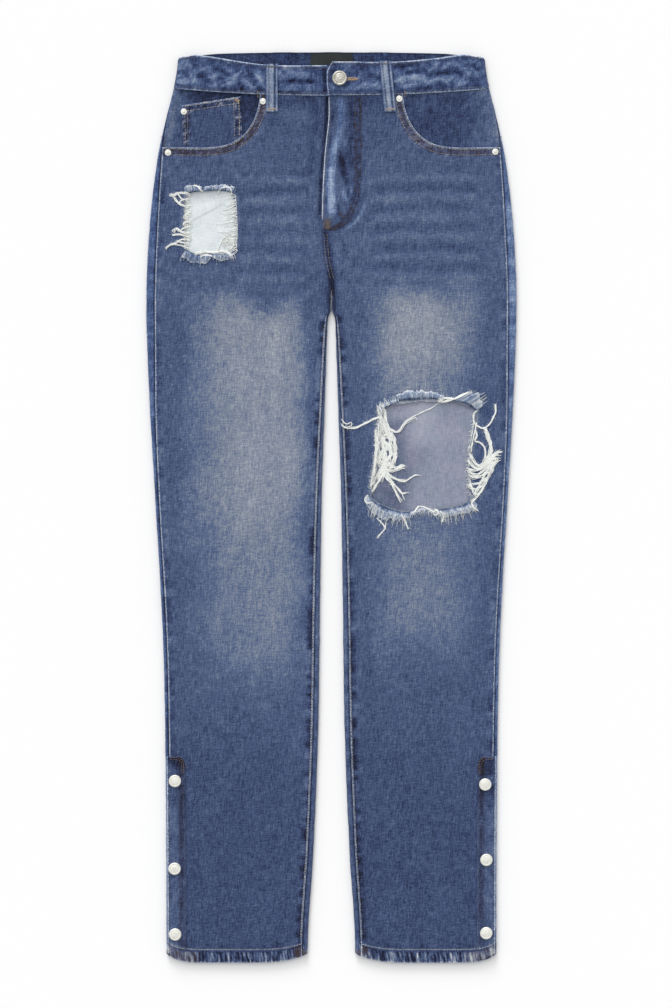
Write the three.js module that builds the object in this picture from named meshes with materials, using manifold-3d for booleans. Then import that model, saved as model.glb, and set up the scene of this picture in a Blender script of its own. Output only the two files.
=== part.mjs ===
// Ripped straight-leg jeans, laid flat on their back: two fronts and two backs that lie on each
// other, with the pieces that are sewn and riveted to them. Millimetres. +X is the wearer's left,
// +Y runs from the hems to the waist, +Z is up from the surface that the jeans lie on.
// Each cloth piece is a grid of points on its outer face, thickened inwards into a closed wall.
import * as THREE from "three";
import { mergeVertices } from "three/addons/utils/BufferGeometryUtils.js";
import Module from "manifold-3d";

const wasm = await Module();
wasm.setup();

// ---- Driving dimensions ----
const DENIM = 1.2; // thickness of one layer of denim
const BAND = 2.6; // waistband, two layers and the seam allowances between them
const COTTON = 1.0; // pocket bag, zip tape and label
const GAP = 0.3; // clearance between neighbouring pieces
const FOLD = 6.4; // height of the folded edges of the legs and hips
const BAND_FOLD = 7.4; // height of the waistband's folded ends
const SAG = 3.4; // how far the middle of a leg's front lies below its folded edges
const SAG_RUN = 48; // distance over which the front comes down from a folded edge
const SAG_TOP = 250; // the fronts sag below this height up the garment
const SAG_BLEND = 80;
const HEM_BLEND = 60; // and they come up again to the hem over this height
const HEM_Y = -509; // the hems at the sides of each leg
const HEM_DROP = 11; // how much lower they are between the sides
const HEM_BEND = 66; // height over which the rows above a hem still follow its bend
const HEM_FOLD = 15; // height of the turned-up hem
const HEM_THICK = 2.6;
const WAIST_Y = 470; // waist seam at the centre front
const WAIST_RISE = 8; // how much higher the seam is at the sides
const WAIST_BEND_Y = 425; // the fronts' rows above here follow the waist seam's bend
const WAIST_BEND = 45;
const WAIST_REACH = 178; // distance from the centre at which the seam has that rise
const BACK_WAIST_Y = 482; // waist seam at the centre back
const BACK_WAIST_DROP = 3; // how much lower it is at the sides
const CROTCH_Y = 222; // top of the gap between the legs
const CROTCH_POINT_Y = 262; // where the four leg seams meet
const YOKE_Y = 394; // yoke seam at the centre back
const YOKE_RISE = 33; // how much higher it is YOKE_REACH out from the centre
const YOKE_REACH = 200;
const YOKE_BEND_Y = 335; // the backs' rows above here follow the yoke seam's slant
const VENT_Y = -286; // top of the snapped side vents
const FLY_Y = 322; // bottom of the fly
const FLY_RISE = 1.6; // how far the fly stands proud
const FLY_REACH = 46; // distance from its edge over which it does
const FLY_SOFT = 16; // and over which it comes down again
const FLY_LAP = 18; // how far the wearer's right front runs on under the fly
const SEAM_LAP = 7; // and under the seam below it
const DRAW_FROM = 90; // the hips are drawn in further out than this,
const DRAW_RUN = 80; // fully so at this distance beyond it

// ---- Outlines: a value at each height up the garment ----
// A smooth curve through [position, value] knots, held level past both ends.
function curve(knots) {
  const slope = knots.map((k, i) => {
    const a = knots[Math.max(i - 1, 0)];
    const b = knots[Math.min(i + 1, knots.length - 1)];
    return i === 0 || i === knots.length - 1 ? 0 : (b[1] - a[1]) / (b[0] - a[0]);
  });
  return (at) => {
    if (at <= knots[0][0]) return knots[0][1];
    if (at >= knots[knots.length - 1][0]) return knots[knots.length - 1][1];
    const i = knots.findIndex((k) => k[0] > at) - 1;
    const [[x0, y0], [x1, y1]] = [knots[i], knots[i + 1]];
    const w = x1 - x0;
    const t = (at - x0) / w;
    const t2 = t * t;
    const t3 = t2 * t;
    return (
      (2 * t3 - 3 * t2 + 1) * y0 +
      (t3 - 2 * t2 + t) * w * slope[i] +
      (3 * t2 - 2 * t3) * y1 +
      (t3 - t2) * w * slope[i + 1]
    );
  };
}
const smooth = (t) => {
  const c = Math.min(1, Math.max(0, t));
  return c * c * (3 - 2 * c);
};
const mix = (a, b, t) => a + (b - a) * t;

// Half the width over the side folds.
const halfWidth = curve([
  [-506, 188.5], [-300, 189.5], [-150, 192.5], [20, 202], [130, 208.3], [240, 211.6],
  [330, 207], [400, 198.5], [450, 187.5], [480, 180], [513, 175.5],
]);
// Half the gap between the legs, which closes in a small round end.
const legGap = curve([
  [-506, 27], [-391, 20.5], [-254, 15], [-117, 13], [20, 10.8], [123, 7.4], [191, 5.1],
  [CROTCH_Y - 4, 3.6], [CROTCH_Y + 4, GAP / 2],
]);
// How far the side seam and the inseam lie in from the folded edges, seen from above.
const sideSeamInset = curve([
  [-480, 4.5], [-150, 4.5], [20, 4.5], [100, 6], [200, 9.5], [300, 9.5], [370, 7], [430, 2], [455, 0.2],
]);
const inseamInset = curve([[-400, 6.5], [-100, 6.2], [60, 4.5], [180, 2.5], [240, 1]]);
// The fly's free edge and the centre front seam below it.
const flyEdge = curve([[240, 0], [262, -3], [285, -8], [330, -10.6], [400, -7.6], [445, -3], [470, -3]]);

// ---- Heights above the surface ----
// Height of the fronts' outer face, without the fly.
function frontHeight(x, y) {
  const out = Math.abs(x);
  const fromGap = y < CROTCH_Y ? out - legGap(y) : out + (y - CROTCH_Y);
  const inside = Math.min(halfWidth(y) - out, fromGap);
  const along = smooth((SAG_TOP - y) / SAG_BLEND) * smooth((y - HEM_Y - HEM_FOLD) / HEM_BLEND);
  return FOLD - SAG * smooth(inside / SAG_RUN) * along;
}
// How far the wearer's left front rises over the zip, and the right front sinks under it.
const flyRise = (x, y) =>
  FLY_RISE * smooth((flyEdge(y) + FLY_REACH - x) / FLY_SOFT) * smooth((y - FLY_Y) / FLY_SOFT);
const lapSink = (x, y) =>
  FLY_RISE * smooth((x - flyEdge(y) + 12) / 9) * smooth((y - CROTCH_POINT_Y) / 8);
// The rear is pressed up where a loop or a patch pocket lies under it.
const LOOP_THICK = 1.5;
const LOOP_WIDTH = 12;
const BACK_LOOPS_X = [-56, 0, 56];
const BACK_LOOP_Y = [462, 518];
const BACK_POCKET = {
  inner: 32,
  outer: 170,
  top: 364,
  topRise: 0.07,
  sideBottom: 256,
  tip: 236,
  taper: 7,
};
const PRESS = 9; // distance over which the rear comes down again around them
const within = (at, low, high, ramp) =>
  smooth((at - low + ramp) / ramp) * smooth((high + ramp - at) / ramp);
function backRise(x, y) {
  const loops = BACK_LOOPS_X.map(
    (c) => within(x, c - LOOP_WIDTH / 2 - 1, c + LOOP_WIDTH / 2 + 1, PRESS) * smooth((y - 450) / PRESS),
  );
  const p = BACK_POCKET;
  const pocket =
    within(Math.abs(x), p.inner - 1, p.outer + 1, PRESS) * within(y, p.tip - 1, p.top + 1, PRESS);
  return Math.max((LOOP_THICK + GAP) * Math.max(...loops), (DENIM + GAP) * pocket);
}

// ---- Walls ----
// A point on an outer face. Where it matters it also carries the direction that faces outwards.
function vec(x, y, z, out) {
  const p = new THREE.Vector3(x, y, z);
  if (out) p.out = out;
  return p;
}
const UP = new THREE.Vector3(0, 0, 1);
const DOWN = new THREE.Vector3(0, 0, -1);
const between = (p, q, t) => {
  const r = vec(mix(p.x, q.x, t), mix(p.y, q.y, t), mix(p.z, q.z, t));
  if (p.out && q.out) r.out = p.out.clone().lerp(q.out, t).normalize();
  return r;
};

// A closed wall whose outer face is the grid rows[i][j]. Its inner face lies thick(i, j) behind it.
// With j running to +X and i to +Y the outer face looks up.
function wall(rows, thick, name) {
  const n = rows.length;
  const m = rows[0].length;
  const depth = typeof thick === "function" ? thick : () => thick;
  const at = (i, j) => rows[Math.min(Math.max(i, 0), n - 1)][Math.min(Math.max(j, 0), m - 1)];
  const points = [];
  rows.forEach((row) => row.forEach((p) => points.push(p)));
  rows.forEach((row, i) =>
    row.forEach((p, j) => {
      const along = at(i, j + 1).clone().sub(at(i, j - 1));
      const up = at(i + 1, j).clone().sub(at(i - 1, j));
      const out = p.out ?? along.cross(up).normalize();
      points.push(p.clone().addScaledVector(out, -depth(i, j)));
    }),
  );
  const outer = (i, j) => i * m + j;
  const inner = (i, j) => n * m + i * m + j;
  const triangles = [];
  const quad = (a, b, c, d) => triangles.push(a, b, c, a, c, d);
  for (let i = 0; i < n - 1; i++)
    for (let j = 0; j < m - 1; j++) {
      quad(outer(i, j), outer(i, j + 1), outer(i + 1, j + 1), outer(i + 1, j));
      quad(inner(i, j), inner(i + 1, j), inner(i + 1, j + 1), inner(i, j + 1));
    }
  for (let i = 0; i < n - 1; i++) {
    quad(outer(i, 0), outer(i + 1, 0), inner(i + 1, 0), inner(i, 0));
    quad(outer(i, m - 1), inner(i, m - 1), inner(i + 1, m - 1), outer(i + 1, m - 1));
  }
  for (let j = 0; j < m - 1; j++) {
    quad(outer(0, j), inner(0, j), inner(0, j + 1), outer(0, j + 1));
    quad(outer(n - 1, j), outer(n - 1, j + 1), inner(n - 1, j + 1), inner(n - 1, j));
  }
  const geometry = new THREE.BufferGeometry();
  geometry.setAttribute("position", new THREE.Float32BufferAttribute(points.flatMap((p) => p.toArray()), 3));
  geometry.setIndex(triangles);
  return geometry;
}

// The grid turned over for the other leg: x changes sign and the columns run the other way.
const mirrored = (p) => vec(-p.x, p.y, p.z, p.out && new THREE.Vector3(-p.out.x, p.out.y, p.out.z));
const mirror = (rows) => rows.map((row) => row.map(mirrored).reverse());
const forSide = (rows, side) => (side > 0 ? rows : mirror(rows));

function toSolid(geometry) {
  const bare = geometry.clone();
  ["normal", "uv"].forEach((n) => bare.deleteAttribute(n));
  const merged = mergeVertices(bare, 1e-3);
  return new wasm.Manifold(
    new wasm.Mesh({
      numProp: 3,
      vertProperties: merged.attributes.position.array,
      triVerts: new Uint32Array(merged.index.array),
    }),
  );
}
function toGeometry(solid) {
  const mesh = solid.getMesh();
  const geometry = new THREE.BufferGeometry();
  geometry.setAttribute("position", new THREE.BufferAttribute(mesh.vertProperties, 3));
  geometry.setIndex(new THREE.BufferAttribute(mesh.triVerts, 1));
  return geometry;
}
// Takes vertical prisms with these outlines out of a piece.
const PRISM = 30;
function cut(geometry, ...outlines) {
  return toGeometry(
    outlines.reduce((solid, outline) => {
      const shape = new THREE.Shape(outline);
      const prism = new THREE.ExtrudeGeometry(shape, { depth: PRISM, bevelEnabled: false });
      prism.translate(0, 0, -PRISM / 2);
      return solid.subtract(toSolid(prism));
    }, toSolid(geometry)),
  );
}
const outline = (points) => points.map(([x, y]) => new THREE.Vector2(x, y));
// A closed smooth outline through a few points.
function roundOutline(points, steps) {
  return new THREE.SplineCurve([...points, points[0]].map(([x, y]) => new THREE.Vector2(x, y)))
    .getPoints(steps)
    .slice(0, -1);
}

// ---- Sections across a leg ----
// A point on the outer face, arc millimetres along the section from the outermost point of a fold
// at x = edge, towards the front if arc is positive. turn is +1 where the cloth lies at smaller x.
function onFold(edge, turn, y, arc, radius, frontZ) {
  const quarter = (radius * Math.PI) / 2;
  if (Math.abs(arc) <= quarter) {
    const angle = arc / radius;
    const out = new THREE.Vector3(turn * Math.cos(angle), 0, Math.sin(angle));
    return vec(edge - turn * radius * (1 - Math.cos(angle)), y, radius + radius * Math.sin(angle), out);
  }
  const x = edge - turn * (radius + Math.abs(arc) - quarter);
  return arc > 0 ? vec(x, y, frontZ(x, y), UP) : vec(x, y, backRise(x, y), DOWN);
}
// The arc at which a seam lies that is inset from the folded edge, seen from above.
function arcOf(inset, radius) {
  return inset < radius ? radius * Math.acos(1 - inset / radius) : radius * (Math.PI / 2 - 1) + inset;
}
const RADIUS = FOLD / 2;
const QUARTER = (RADIUS * Math.PI) / 2;

// The hem line and the waist seam bend the lowest and highest rows of a panel.
const across = (x, y) => {
  const low = legGap(y);
  const high = halfWidth(y);
  return (Math.abs(x) - (low + high) / 2) / ((high - low) / 2);
};
function hemShift(x, y) {
  const t = Math.min(1, Math.abs(across(x, y)));
  const power = across(x, y) > 0 ? 7 : 4;
  return -HEM_DROP * (1 - t ** power) * smooth((HEM_Y + HEM_BEND - y) / HEM_BEND);
}
const waistSeam = (x) => WAIST_Y + WAIST_RISE * (x / WAIST_REACH) ** 2;
const frontWaistShift = (x, y) =>
  (waistSeam(x) - WAIST_Y) * smooth((y - WAIST_BEND_Y) / WAIST_BEND);
const backWaistEdge = (x) => BACK_WAIST_Y - BACK_WAIST_DROP * (x / WAIST_REACH) ** 2;
const yokeEdge = (x) => YOKE_Y + (YOKE_RISE * Math.abs(x)) / YOKE_REACH;
// How much of the hips' narrowing a point at x takes.
const drawShare = (x) => smooth((Math.abs(x) - DRAW_FROM) / DRAW_RUN);
// Bends a point of a front's row to the hem and the waist seam, and draws it in with the hips.
function bendFront(p, nominal) {
  p.y += hemShift(p.x, nominal) + frontWaistShift(p.x, nominal);
  p.x *= mix(1, halfWidth(p.y) / halfWidth(nominal), drawShare(p.x));
}

// ---- Fronts ----
const HEM_ROWS = [HEM_Y, HEM_Y + HEM_FOLD, HEM_Y + HEM_FOLD + 1.5];
const VENT_ROWS = [-470, -450, -430, -400];
const LEG_ROWS = [
  ...VENT_ROWS, VENT_Y, -150, -20, 100, 180, 212, CROTCH_Y - 4, CROTCH_Y + 4, 238, 250, CROTCH_POINT_Y,
];
const HIP_ROWS = [270, 285, 310, 326, 345, 375, 405, 430, 450, WAIST_Y - GAP];
const TOP_COLUMNS = 7;

// One row of a front's outer face for the wearer's left (side 1) or right (side -1) leg, as points
// with x counted outwards from the centre, from the centre front or inseam to the side seam.
function frontRow(side, y) {
  const gap = legGap(y);
  const wide = halfWidth(y);
  const height = (x) => {
    const real = side * x;
    return frontHeight(x, y) + (side > 0 ? flyRise(real, y) : -lapSink(real, y));
  };
  const outerArc = arcOf(sideSeamInset(y), RADIUS) + GAP / 2;
  const innerArc = arcOf(inseamInset(y), RADIUS) + GAP / 2;
  const fold = (edge, turn, arc) => onFold(edge, turn, y, arc, RADIUS, height);
  const step = (arc) => [arc, (arc + Math.max(arc, QUARTER) + 2) / 2, Math.max(arc, QUARTER) + 2];
  const outer = step(outerArc).map((arc) => fold(wide, 1, arc));
  // Below the crotch the inner edge lies on the inner fold, and above it along the fly's edge.
  const onLeg = step(innerArc).map((arc) => fold(gap, -1, arc));
  const lap = side > 0 ? 0 : mix(SEAM_LAP, FLY_LAP, smooth((y - FLY_Y) / 12)) * smooth((y - 270) / 12);
  const edgeX = side > 0 ? flyEdge(y) : -flyEdge(y) - lap + GAP * smooth((280 - y) / 20);
  const onFly = [0, 3, 9].map((d) => vec(edgeX + d, y, height(edgeX + d), UP));
  const open = smooth((y - CROTCH_Y - 4) / (CROTCH_POINT_Y - CROTCH_Y - 4));
  const inner = onLeg.map((p, k) => between(p, onFly[k], open));
  const from = inner[2].x;
  const to = outer[2].x;
  const top = [];
  for (let k = 1; k < TOP_COLUMNS; k++) {
    const x = mix(from, to, k / TOP_COLUMNS);
    top.push(vec(x, y, height(x), UP));
  }
  return [...inner, ...top, ...outer.reverse()];
}
function frontPanel(side) {
  const rows = [...HEM_ROWS, ...LEG_ROWS, ...HIP_ROWS].map((y) => {
    const row = frontRow(side, y);
    row.forEach((p) => bendFront(p, y));
    return row;
  });
  return wall(forSide(rows, side), (i) => (i < 2 ? HEM_THICK : DENIM));
}

// The scoop of a front pocket, from the waist seam to the side seam.
const SCOOP = [
  [81, 482], [82, 466], [85, 452], [91, 438], [101, 425], [117, 415], [140, 411], [168, 411], [214, 412],
];
const ABOVE_WAIST = 500;
const onSide = (points, side) => outline(points.map(([x, y]) => [side * x, y]));
function scoopOutline(side) {
  const edge = new THREE.SplineCurve(onSide(SCOOP, side)).getPoints(28);
  return [...edge, ...onSide([[214, ABOVE_WAIST], [81, ABOVE_WAIST]], side)];
}
// The two rips, each a hole with drawn-in sides.
const KNEE_RIP = [
  [60, 112], [78, 118], [105, 121], [135, 120.5], [158, 115], [165, 106], [161, 78], [156.5, 42],
  [158, 12], [145, 2], [116, -3.5], [86, -4.5], [62, 2], [47, 12], [49, 40], [56, 80],
];
const HIP_RIP = [
  [-165, 356], [-140, 361.5], [-114, 360], [-110, 336], [-109, 312], [-114, 292], [-140, 289],
  [-164, 294], [-168, 325],
];
// The notch where a vent's placket stands away from the front above it.
const VENT_NOTCH = [[183, VENT_Y + 1], [166, VENT_Y + 1], [170, VENT_Y + 7], [183, VENT_Y + 9]];

// ---- Backs and yokes ----
const BACK_LEG_ROWS = [
  -470, -430, -400, VENT_Y, -150, -20, 100, 180, 212, CROTCH_Y - 4, CROTCH_Y + 4, 235, 248, CROTCH_POINT_Y,
];
const BACK_TOP_ROWS = [285, 310, 335, 350, 365, 374, YOKE_Y - GAP];
// Columns of a rear piece's flat part, from the side to the centre back.
const PANEL_COLUMNS = [180, 171, 101, 31, 22];
const YOKE_COLUMNS = [150, 110, 72, 63, 49, 40, 16, 7];

// One row of a rear piece's outer face, from the side seam round the fold and across to the inseam
// round the inner fold, or to the centre back. Its outer face looks down where it lies flat.
function backRow(y, seamY, columns) {
  const height = (x) => frontHeight(x, y);
  const gap = legGap(y);
  const wide = halfWidth(y);
  const outerArc = arcOf(sideSeamInset(seamY), RADIUS) - GAP;
  const innerArc = arcOf(inseamInset(y), RADIUS) - GAP / 2;
  const fold = (edge, turn, arc) => onFold(edge, turn, y, arc, RADIUS, height);
  const arcs = (arc) => [arc, arc * 0.66, arc * 0.33, 0, -QUARTER / 2, -QUARTER];
  const outer = arcs(outerArc).map((arc) => fold(wide, 1, arc));
  const onLeg = arcs(innerArc).map((arc) => fold(gap, -1, arc)).reverse();
  const flat = [6, 5, 4, 2.5, 1.2, 0].map((d) => vec(GAP / 2 + d, y, backRise(GAP / 2 + d, y), DOWN));
  const open = smooth((y - CROTCH_Y - 4) / (CROTCH_POINT_Y - CROTCH_Y - 4));
  const inner = onLeg.map((p, k) => between(p, flat[k], open));
  const bottom = columns.map((c, k) => {
    const even = mix(outer[5].x, inner[0].x, (k + 1) / (columns.length + 1));
    const x = y > CROTCH_Y ? c : even;
    return vec(x, y, backRise(x, y), DOWN);
  });
  return [...outer, ...bottom, ...inner];
}
// Moves a point to the height that its row has at its x, and draws the hip's side in to match.
function slant(p, nominal, heightAt) {
  const own = p.x;
  const shift = p.y - nominal;
  for (let k = 0; k < 4; k++) {
    p.y = heightAt(p.x) + shift;
    p.x = own * mix(1, halfWidth(p.y) / halfWidth(nominal), drawShare(own));
  }
}
function backPanel(side) {
  const rows = [...HEM_ROWS, ...BACK_LEG_ROWS, ...BACK_TOP_ROWS].map((y) => {
    const lift = smooth((y - YOKE_BEND_Y) / (YOKE_Y - YOKE_BEND_Y));
    const row = backRow(y, mix(y, y + YOKE_RISE, lift), PANEL_COLUMNS);
    row.forEach((p) => {
      p.y += hemShift(p.x, y);
      slant(p, y, (x) => y + (yokeEdge(x) - YOKE_Y) * lift);
    });
    return row;
  });
  return wall(forSide(rows, side), (i) => (i < 2 ? HEM_THICK : DENIM));
}
function yoke(side) {
  const rows = [0, 0.3, 0.6, 0.73, 1].map((t) => {
    const nominal = mix(YOKE_Y + YOKE_RISE, BACK_WAIST_Y, t);
    const row = backRow(nominal, nominal, YOKE_COLUMNS);
    row.forEach((p) => {
      slant(p, nominal, (x) => mix(yokeEdge(x) + GAP, backWaistEdge(x) - GAP, t));
      if (p.out === DOWN) p.z = backRise(p.x, p.y);
    });
    return row;
  });
  return wall(forSide(rows, side), DENIM);
}
// A patch pocket under each back panel, five-sided.
function backPocket(side) {
  const p = BACK_POCKET;
  const middle = (p.inner + p.outer) / 2;
  const corners = [
    [p.inner, p.top + p.topRise * p.inner],
    [p.outer, p.top + p.topRise * p.outer],
    [p.outer - p.taper, p.sideBottom],
    [middle, p.tip],
    [p.inner + p.taper, p.sideBottom],
  ];
  const shape = new THREE.Shape(onSide(corners, side));
  return new THREE.ExtrudeGeometry(shape, { depth: DENIM, bevelEnabled: false });
}

// ---- Front pockets ----
const FRONT_UNDER = FOLD - DENIM - GAP; // height of the top of what lies next under a front
const COIN_TOP = FRONT_UNDER;
const FACING_TOP = { 1: FRONT_UNDER, "-1": COIN_TOP - DENIM - GAP };
const FACING_LOW_Y = 398;
const FACING_INNER_X = 72;
const FACING_WRAP_Y = 414; // above here the facing reaches out round the fold to the side seam

// The denim that shows in the scoop, from under the front out to the side seam.
function pocketFacing(side) {
  const level = FACING_TOP[side];
  const rows = [FACING_LOW_Y, 404, 413.5, 418, 424, 436, 450, 464, WAIST_Y - GAP].map((y) => {
    const wide = halfWidth(y);
    const up = smooth((y - FACING_WRAP_Y) / 10);
    const height = (x) => mix(level, FOLD, smooth((x - wide + 12) / 8) * up);
    const seam = arcOf(sideSeamInset(y), RADIUS) + GAP / 2;
    const arcs = [QUARTER + 1, (QUARTER + seam) / 2, seam];
    const onCap = arcs.map((arc) => onFold(wide, 1, y, arc, RADIUS, height));
    const tucked = [-12, -9, -6].map((d) => vec(wide - RADIUS - 4 + d, y, level, UP));
    const outer = tucked.map((p, k) => between(p, onCap[k], up));
    const top = [0, 0.25, 0.5, 0.75, 0.93].map((t) => {
      const x = mix(FACING_INNER_X, outer[0].x - 1, t);
      return vec(x, y, height(x), UP);
    });
    const row = [...top, ...outer];
    row.forEach((p) => bendFront(p, y));
    return row;
  });
  return wall(forSide(rows, side), DENIM);
}
// A flat-lying patch between four corners, at a height given by top(x, y).
function patch([a, b, c, d], top, thick, columns, lines) {
  const rows = [];
  for (let i = 0; i <= lines; i++) {
    const row = [];
    for (let j = 0; j <= columns; j++) {
      const [s, t] = [j / columns, i / lines];
      const x = mix(mix(a[0], b[0], s), mix(d[0], c[0], s), t);
      const y = mix(mix(a[1], b[1], s), mix(d[1], c[1], s), t);
      row.push(vec(x, y, top(x, y)));
    }
    rows.push(row);
  }
  return wall(rows, thick);
}
const COIN_CORNERS = [[-169, 399], [-100.5, 399], [-104, 467], [-170.5, 457]];
const coinPocket = () => patch(COIN_CORNERS, () => COIN_TOP, DENIM, 4, 4);
const BAG_CORNERS = [[-186, 262], [-84, 262], [-80, 393], [-186, 393]];
const pocketBag = () => patch(BAG_CORNERS, () => FRONT_UNDER, COTTON, 4, 4);

// ---- Fly ----
// The closed zip's tape, between the two fronts.
const ZIP_CORNERS = [[-4, 348], [19, 348], [22, 466], [2, 466]];
const zipTape = () => patch(ZIP_CORNERS, () => FOLD - GAP / 2, COTTON, 2, 4);

// ---- Waistband ----
const BAND_RADIUS = BAND_FOLD / 2;
const BAND_LIFT = { right: 1.2, left: 4.1 }; // how far the two front ends rise over what is under them
const BAND_END = { right: 36, left: -5.2 };
const rightEndHeight = (x) => BAND_FOLD + BAND_LIFT.right * smooth((x + 70) / 40);
const leftEndHeight = (x) => BAND_FOLD + BAND_LIFT.left * smooth((62 - x) / 42);
const rightTopEdge = curve([[-174, 514], [-157, 516.5], [-75, 505.5], [0, 504.5], [36, 504.5]]);
const leftTopEdge = curve([[-6, 508.5], [69, 508.8], [118, 512.5], [155, 516.8], [174, 514]]);
const backTopEdge = curve([[-174, 515], [-130, 518.5], [0, 520], [130, 518.5], [174, 515]]);
const SIDE_TOP_Y = 511; // the waistband's upper corners at its folds
const SIDE_LOW_Y = 478.5; // and its lower ones
const BAND_DRAW_FROM = 75; // the band narrows upwards with the hips further out than this
const RIGHT_COLUMNS = [BAND_END.right, 10, -15, -35, -52, -70, -105, -140, -160, -175];
const LEFT_COLUMNS = [175, 160, 140, 105, 70, 52, 35, 15, BAND_END.left];
const CORNER_ANGLES = [60, 30, 0, -30, -60].map(THREE.MathUtils.degToRad);
const BAND_COLUMNS = [175, 140, 105, 72, 63, 49, 40, 16, 7];

// The band is one strip: from the right front end, out round the right fold, across the back, round
// the left fold and back to the left front end, which laps over the right one.
function waistband() {
  const column = (place) =>
    [0, 0.5, 1].map((t) => place.at(mix(place.low + GAP, place.high, t)));
  const flat = (x, height, low, high, out = UP) => ({
    low,
    high,
    // x is given at the waist seam.
    at: (y) => {
      const reach = halfWidth(y) / halfWidth(480);
      const share = smooth((Math.abs(x) - BAND_DRAW_FROM) / 70);
      return vec(x * mix(1, reach, share), y, height, out);
    },
  });
  const corner = (side, angle) => ({
    low: SIDE_LOW_Y,
    high: mix(SIDE_TOP_Y, 514, Math.abs(Math.sin(angle))),
    at: (y) =>
      vec(
        side * (halfWidth(y) - BAND_RADIUS * (1 - Math.cos(angle))),
        y,
        BAND_RADIUS * (1 + Math.sin(angle)),
        new THREE.Vector3(side * Math.cos(angle), 0, Math.sin(angle)),
      ),
  });
  const front = (x, height, edge) => flat(x, height(x), waistSeam(x), edge(x));
  const back = (x) =>
    flat(x, backRise(x, ABOVE_WAIST), backWaistEdge(x), backTopEdge(x), DOWN);
  const places = [
    ...RIGHT_COLUMNS.map((x) => front(x, rightEndHeight, rightTopEdge)),
    ...CORNER_ANGLES.map((a) => corner(-1, a)),
    ...BAND_COLUMNS.map((x) => back(-x)),
    ...[...BAND_COLUMNS].reverse().map(back),
    ...[...CORNER_ANGLES].reverse().map((a) => corner(1, a)),
    ...LEFT_COLUMNS.map((x) => front(x, leftEndHeight, leftTopEdge)),
  ];
  const columns = places.map(column);
  const rows = [0, 1, 2].map((i) => columns.map((c) => c[i]).reverse());
  return wall(rows, BAND);
}
const LABEL_X = [-28, -16, -7, 7, 16, 30];
const LABEL_Y = [494, 505, 516];
const label = () => {
  const under = (x) => backRise(x, ABOVE_WAIST) + BAND + GAP + COTTON;
  return wall(LABEL_Y.map((y) => LABEL_X.map((x) => vec(x, y, under(x), UP))), COTTON);
};

// ---- Belt loops ----
// A strap over the band at the front: tacked to the front below the seam, and standing off the band.
const LOOP_BOTTOM_Y = 452;
const LOOP_BOW = 5; // how far a full unit of rise past the band's height lifts the strap
function frontLoop({ topX, bottomX, bandHeight, topY }) {
  // Height up the garment, and how far the strap has risen from the front to the band.
  const profile = [
    [LOOP_BOTTOM_Y, 0], [458, 0], [464, 0.8], [469, 1.1], [490, 1.25], [502, 1.05], [topY, 1],
  ];
  const low = FOLD + GAP + LOOP_THICK;
  const high = bandHeight + GAP + LOOP_THICK;
  const rows = profile.map(([y, t]) => {
    const x = mix(bottomX, topX, (y - LOOP_BOTTOM_Y) / (topY - LOOP_BOTTOM_Y));
    const z = mix(low, high, Math.min(t, 1)) + Math.max(t - 1, 0) * LOOP_BOW;
    return [-1, 0, 1].map((s) => vec(x + (s * LOOP_WIDTH) / 2, y, z));
  });
  return wall(rows, LOOP_THICK);
}
const FRONT_LOOPS = {
  right: { topX: -68, bottomX: -68, bandHeight: rightEndHeight(-68), topY: 506 },
  left: { topX: 61, bottomX: 67, bandHeight: leftEndHeight(55), topY: 509.5 },
};
function backLoop(x) {
  const [low, high] = BACK_LOOP_Y;
  const half = LOOP_WIDTH / 2;
  const shape = new THREE.Shape(
    outline([[x - half, low], [x + half, low], [x + half, high], [x - half, high]]),
  );
  return new THREE.ExtrudeGeometry(shape, { depth: LOOP_THICK, bevelEnabled: false });
}

// ---- Side vents ----
const PLACKET_WIDTH = 21;
const UNDERLAP_WIDTH = 19;
// A strip along the vent, its columns at these distances in from the folded edge.
function ventStrip(side, insets, height, low, high, thick) {
  const ys = [low, Math.max(low + 2, HEM_Y + HEM_FOLD + 1.5), ...VENT_ROWS, high];
  const rows = ys.map((y) => {
    const row = insets
      .map((d) => halfWidth(y) - d)
      .reverse()
      .map((x) => vec(x, y, height(x, y), UP));
    row.forEach((p) => (p.y += hemShift(p.x, y)));
    return row;
  });
  return wall(forSide(rows, side), thick);
}
const placketTop = (x, y) => frontHeight(x, y) + GAP + DENIM;
const PLACKET_INSET = 1.6; // from the folded edge of the leg to the placket's outer edge
const UNDERLAP_INSET = 6.2;
const placket = (side) =>
  ventStrip(
    side,
    [PLACKET_INSET, PLACKET_INSET + 5, PLACKET_INSET + 12, PLACKET_INSET + PLACKET_WIDTH],
    placketTop,
    HEM_Y + 2,
    VENT_Y - 1,
    DENIM,
  );
const underlap = (side) =>
  ventStrip(
    side,
    [UNDERLAP_INSET, UNDERLAP_INSET + 7, UNDERLAP_INSET + 13, UNDERLAP_INSET + UNDERLAP_WIDTH],
    (x, y) => frontHeight(x, y) - DENIM - GAP,
    HEM_Y + HEM_FOLD + 3,
    VENT_Y + 12,
    DENIM,
  );

// ---- Metal ----
// Turned pieces: a profile of [radius, height] pairs, which starts and ends on the axis.
function turned(profile, segments, x, y, z) {
  const geometry = new THREE.LatheGeometry(profile.map(([r, h]) => new THREE.Vector2(r, h)), segments);
  geometry.rotateX(Math.PI / 2);
  geometry.translate(x, y, z);
  return geometry;
}
const BUTTON = { x: 9.3, y: 489, radius: 8.5, shank: 3.4 };
const BUTTON_PROFILE = [
  [0, 0], [BUTTON.shank, 0], [BUTTON.shank, 2], [BUTTON.radius - 0.6, 2.2], [BUTTON.radius, 3],
  [BUTTON.radius - 0.6, 4.2], [5, 4.7], [0, 4.8],
];
const waistButton = () =>
  turned(BUTTON_PROFILE, 24, BUTTON.x, BUTTON.y, leftEndHeight(BUTTON.x) + GAP);
const RIVET_RADIUS = 3.6;
const RIVET_PROFILE = [[0, 0], [RIVET_RADIUS, 0], [RIVET_RADIUS, 0.7], [2.4, 1.5], [0, 1.8]];
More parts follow.
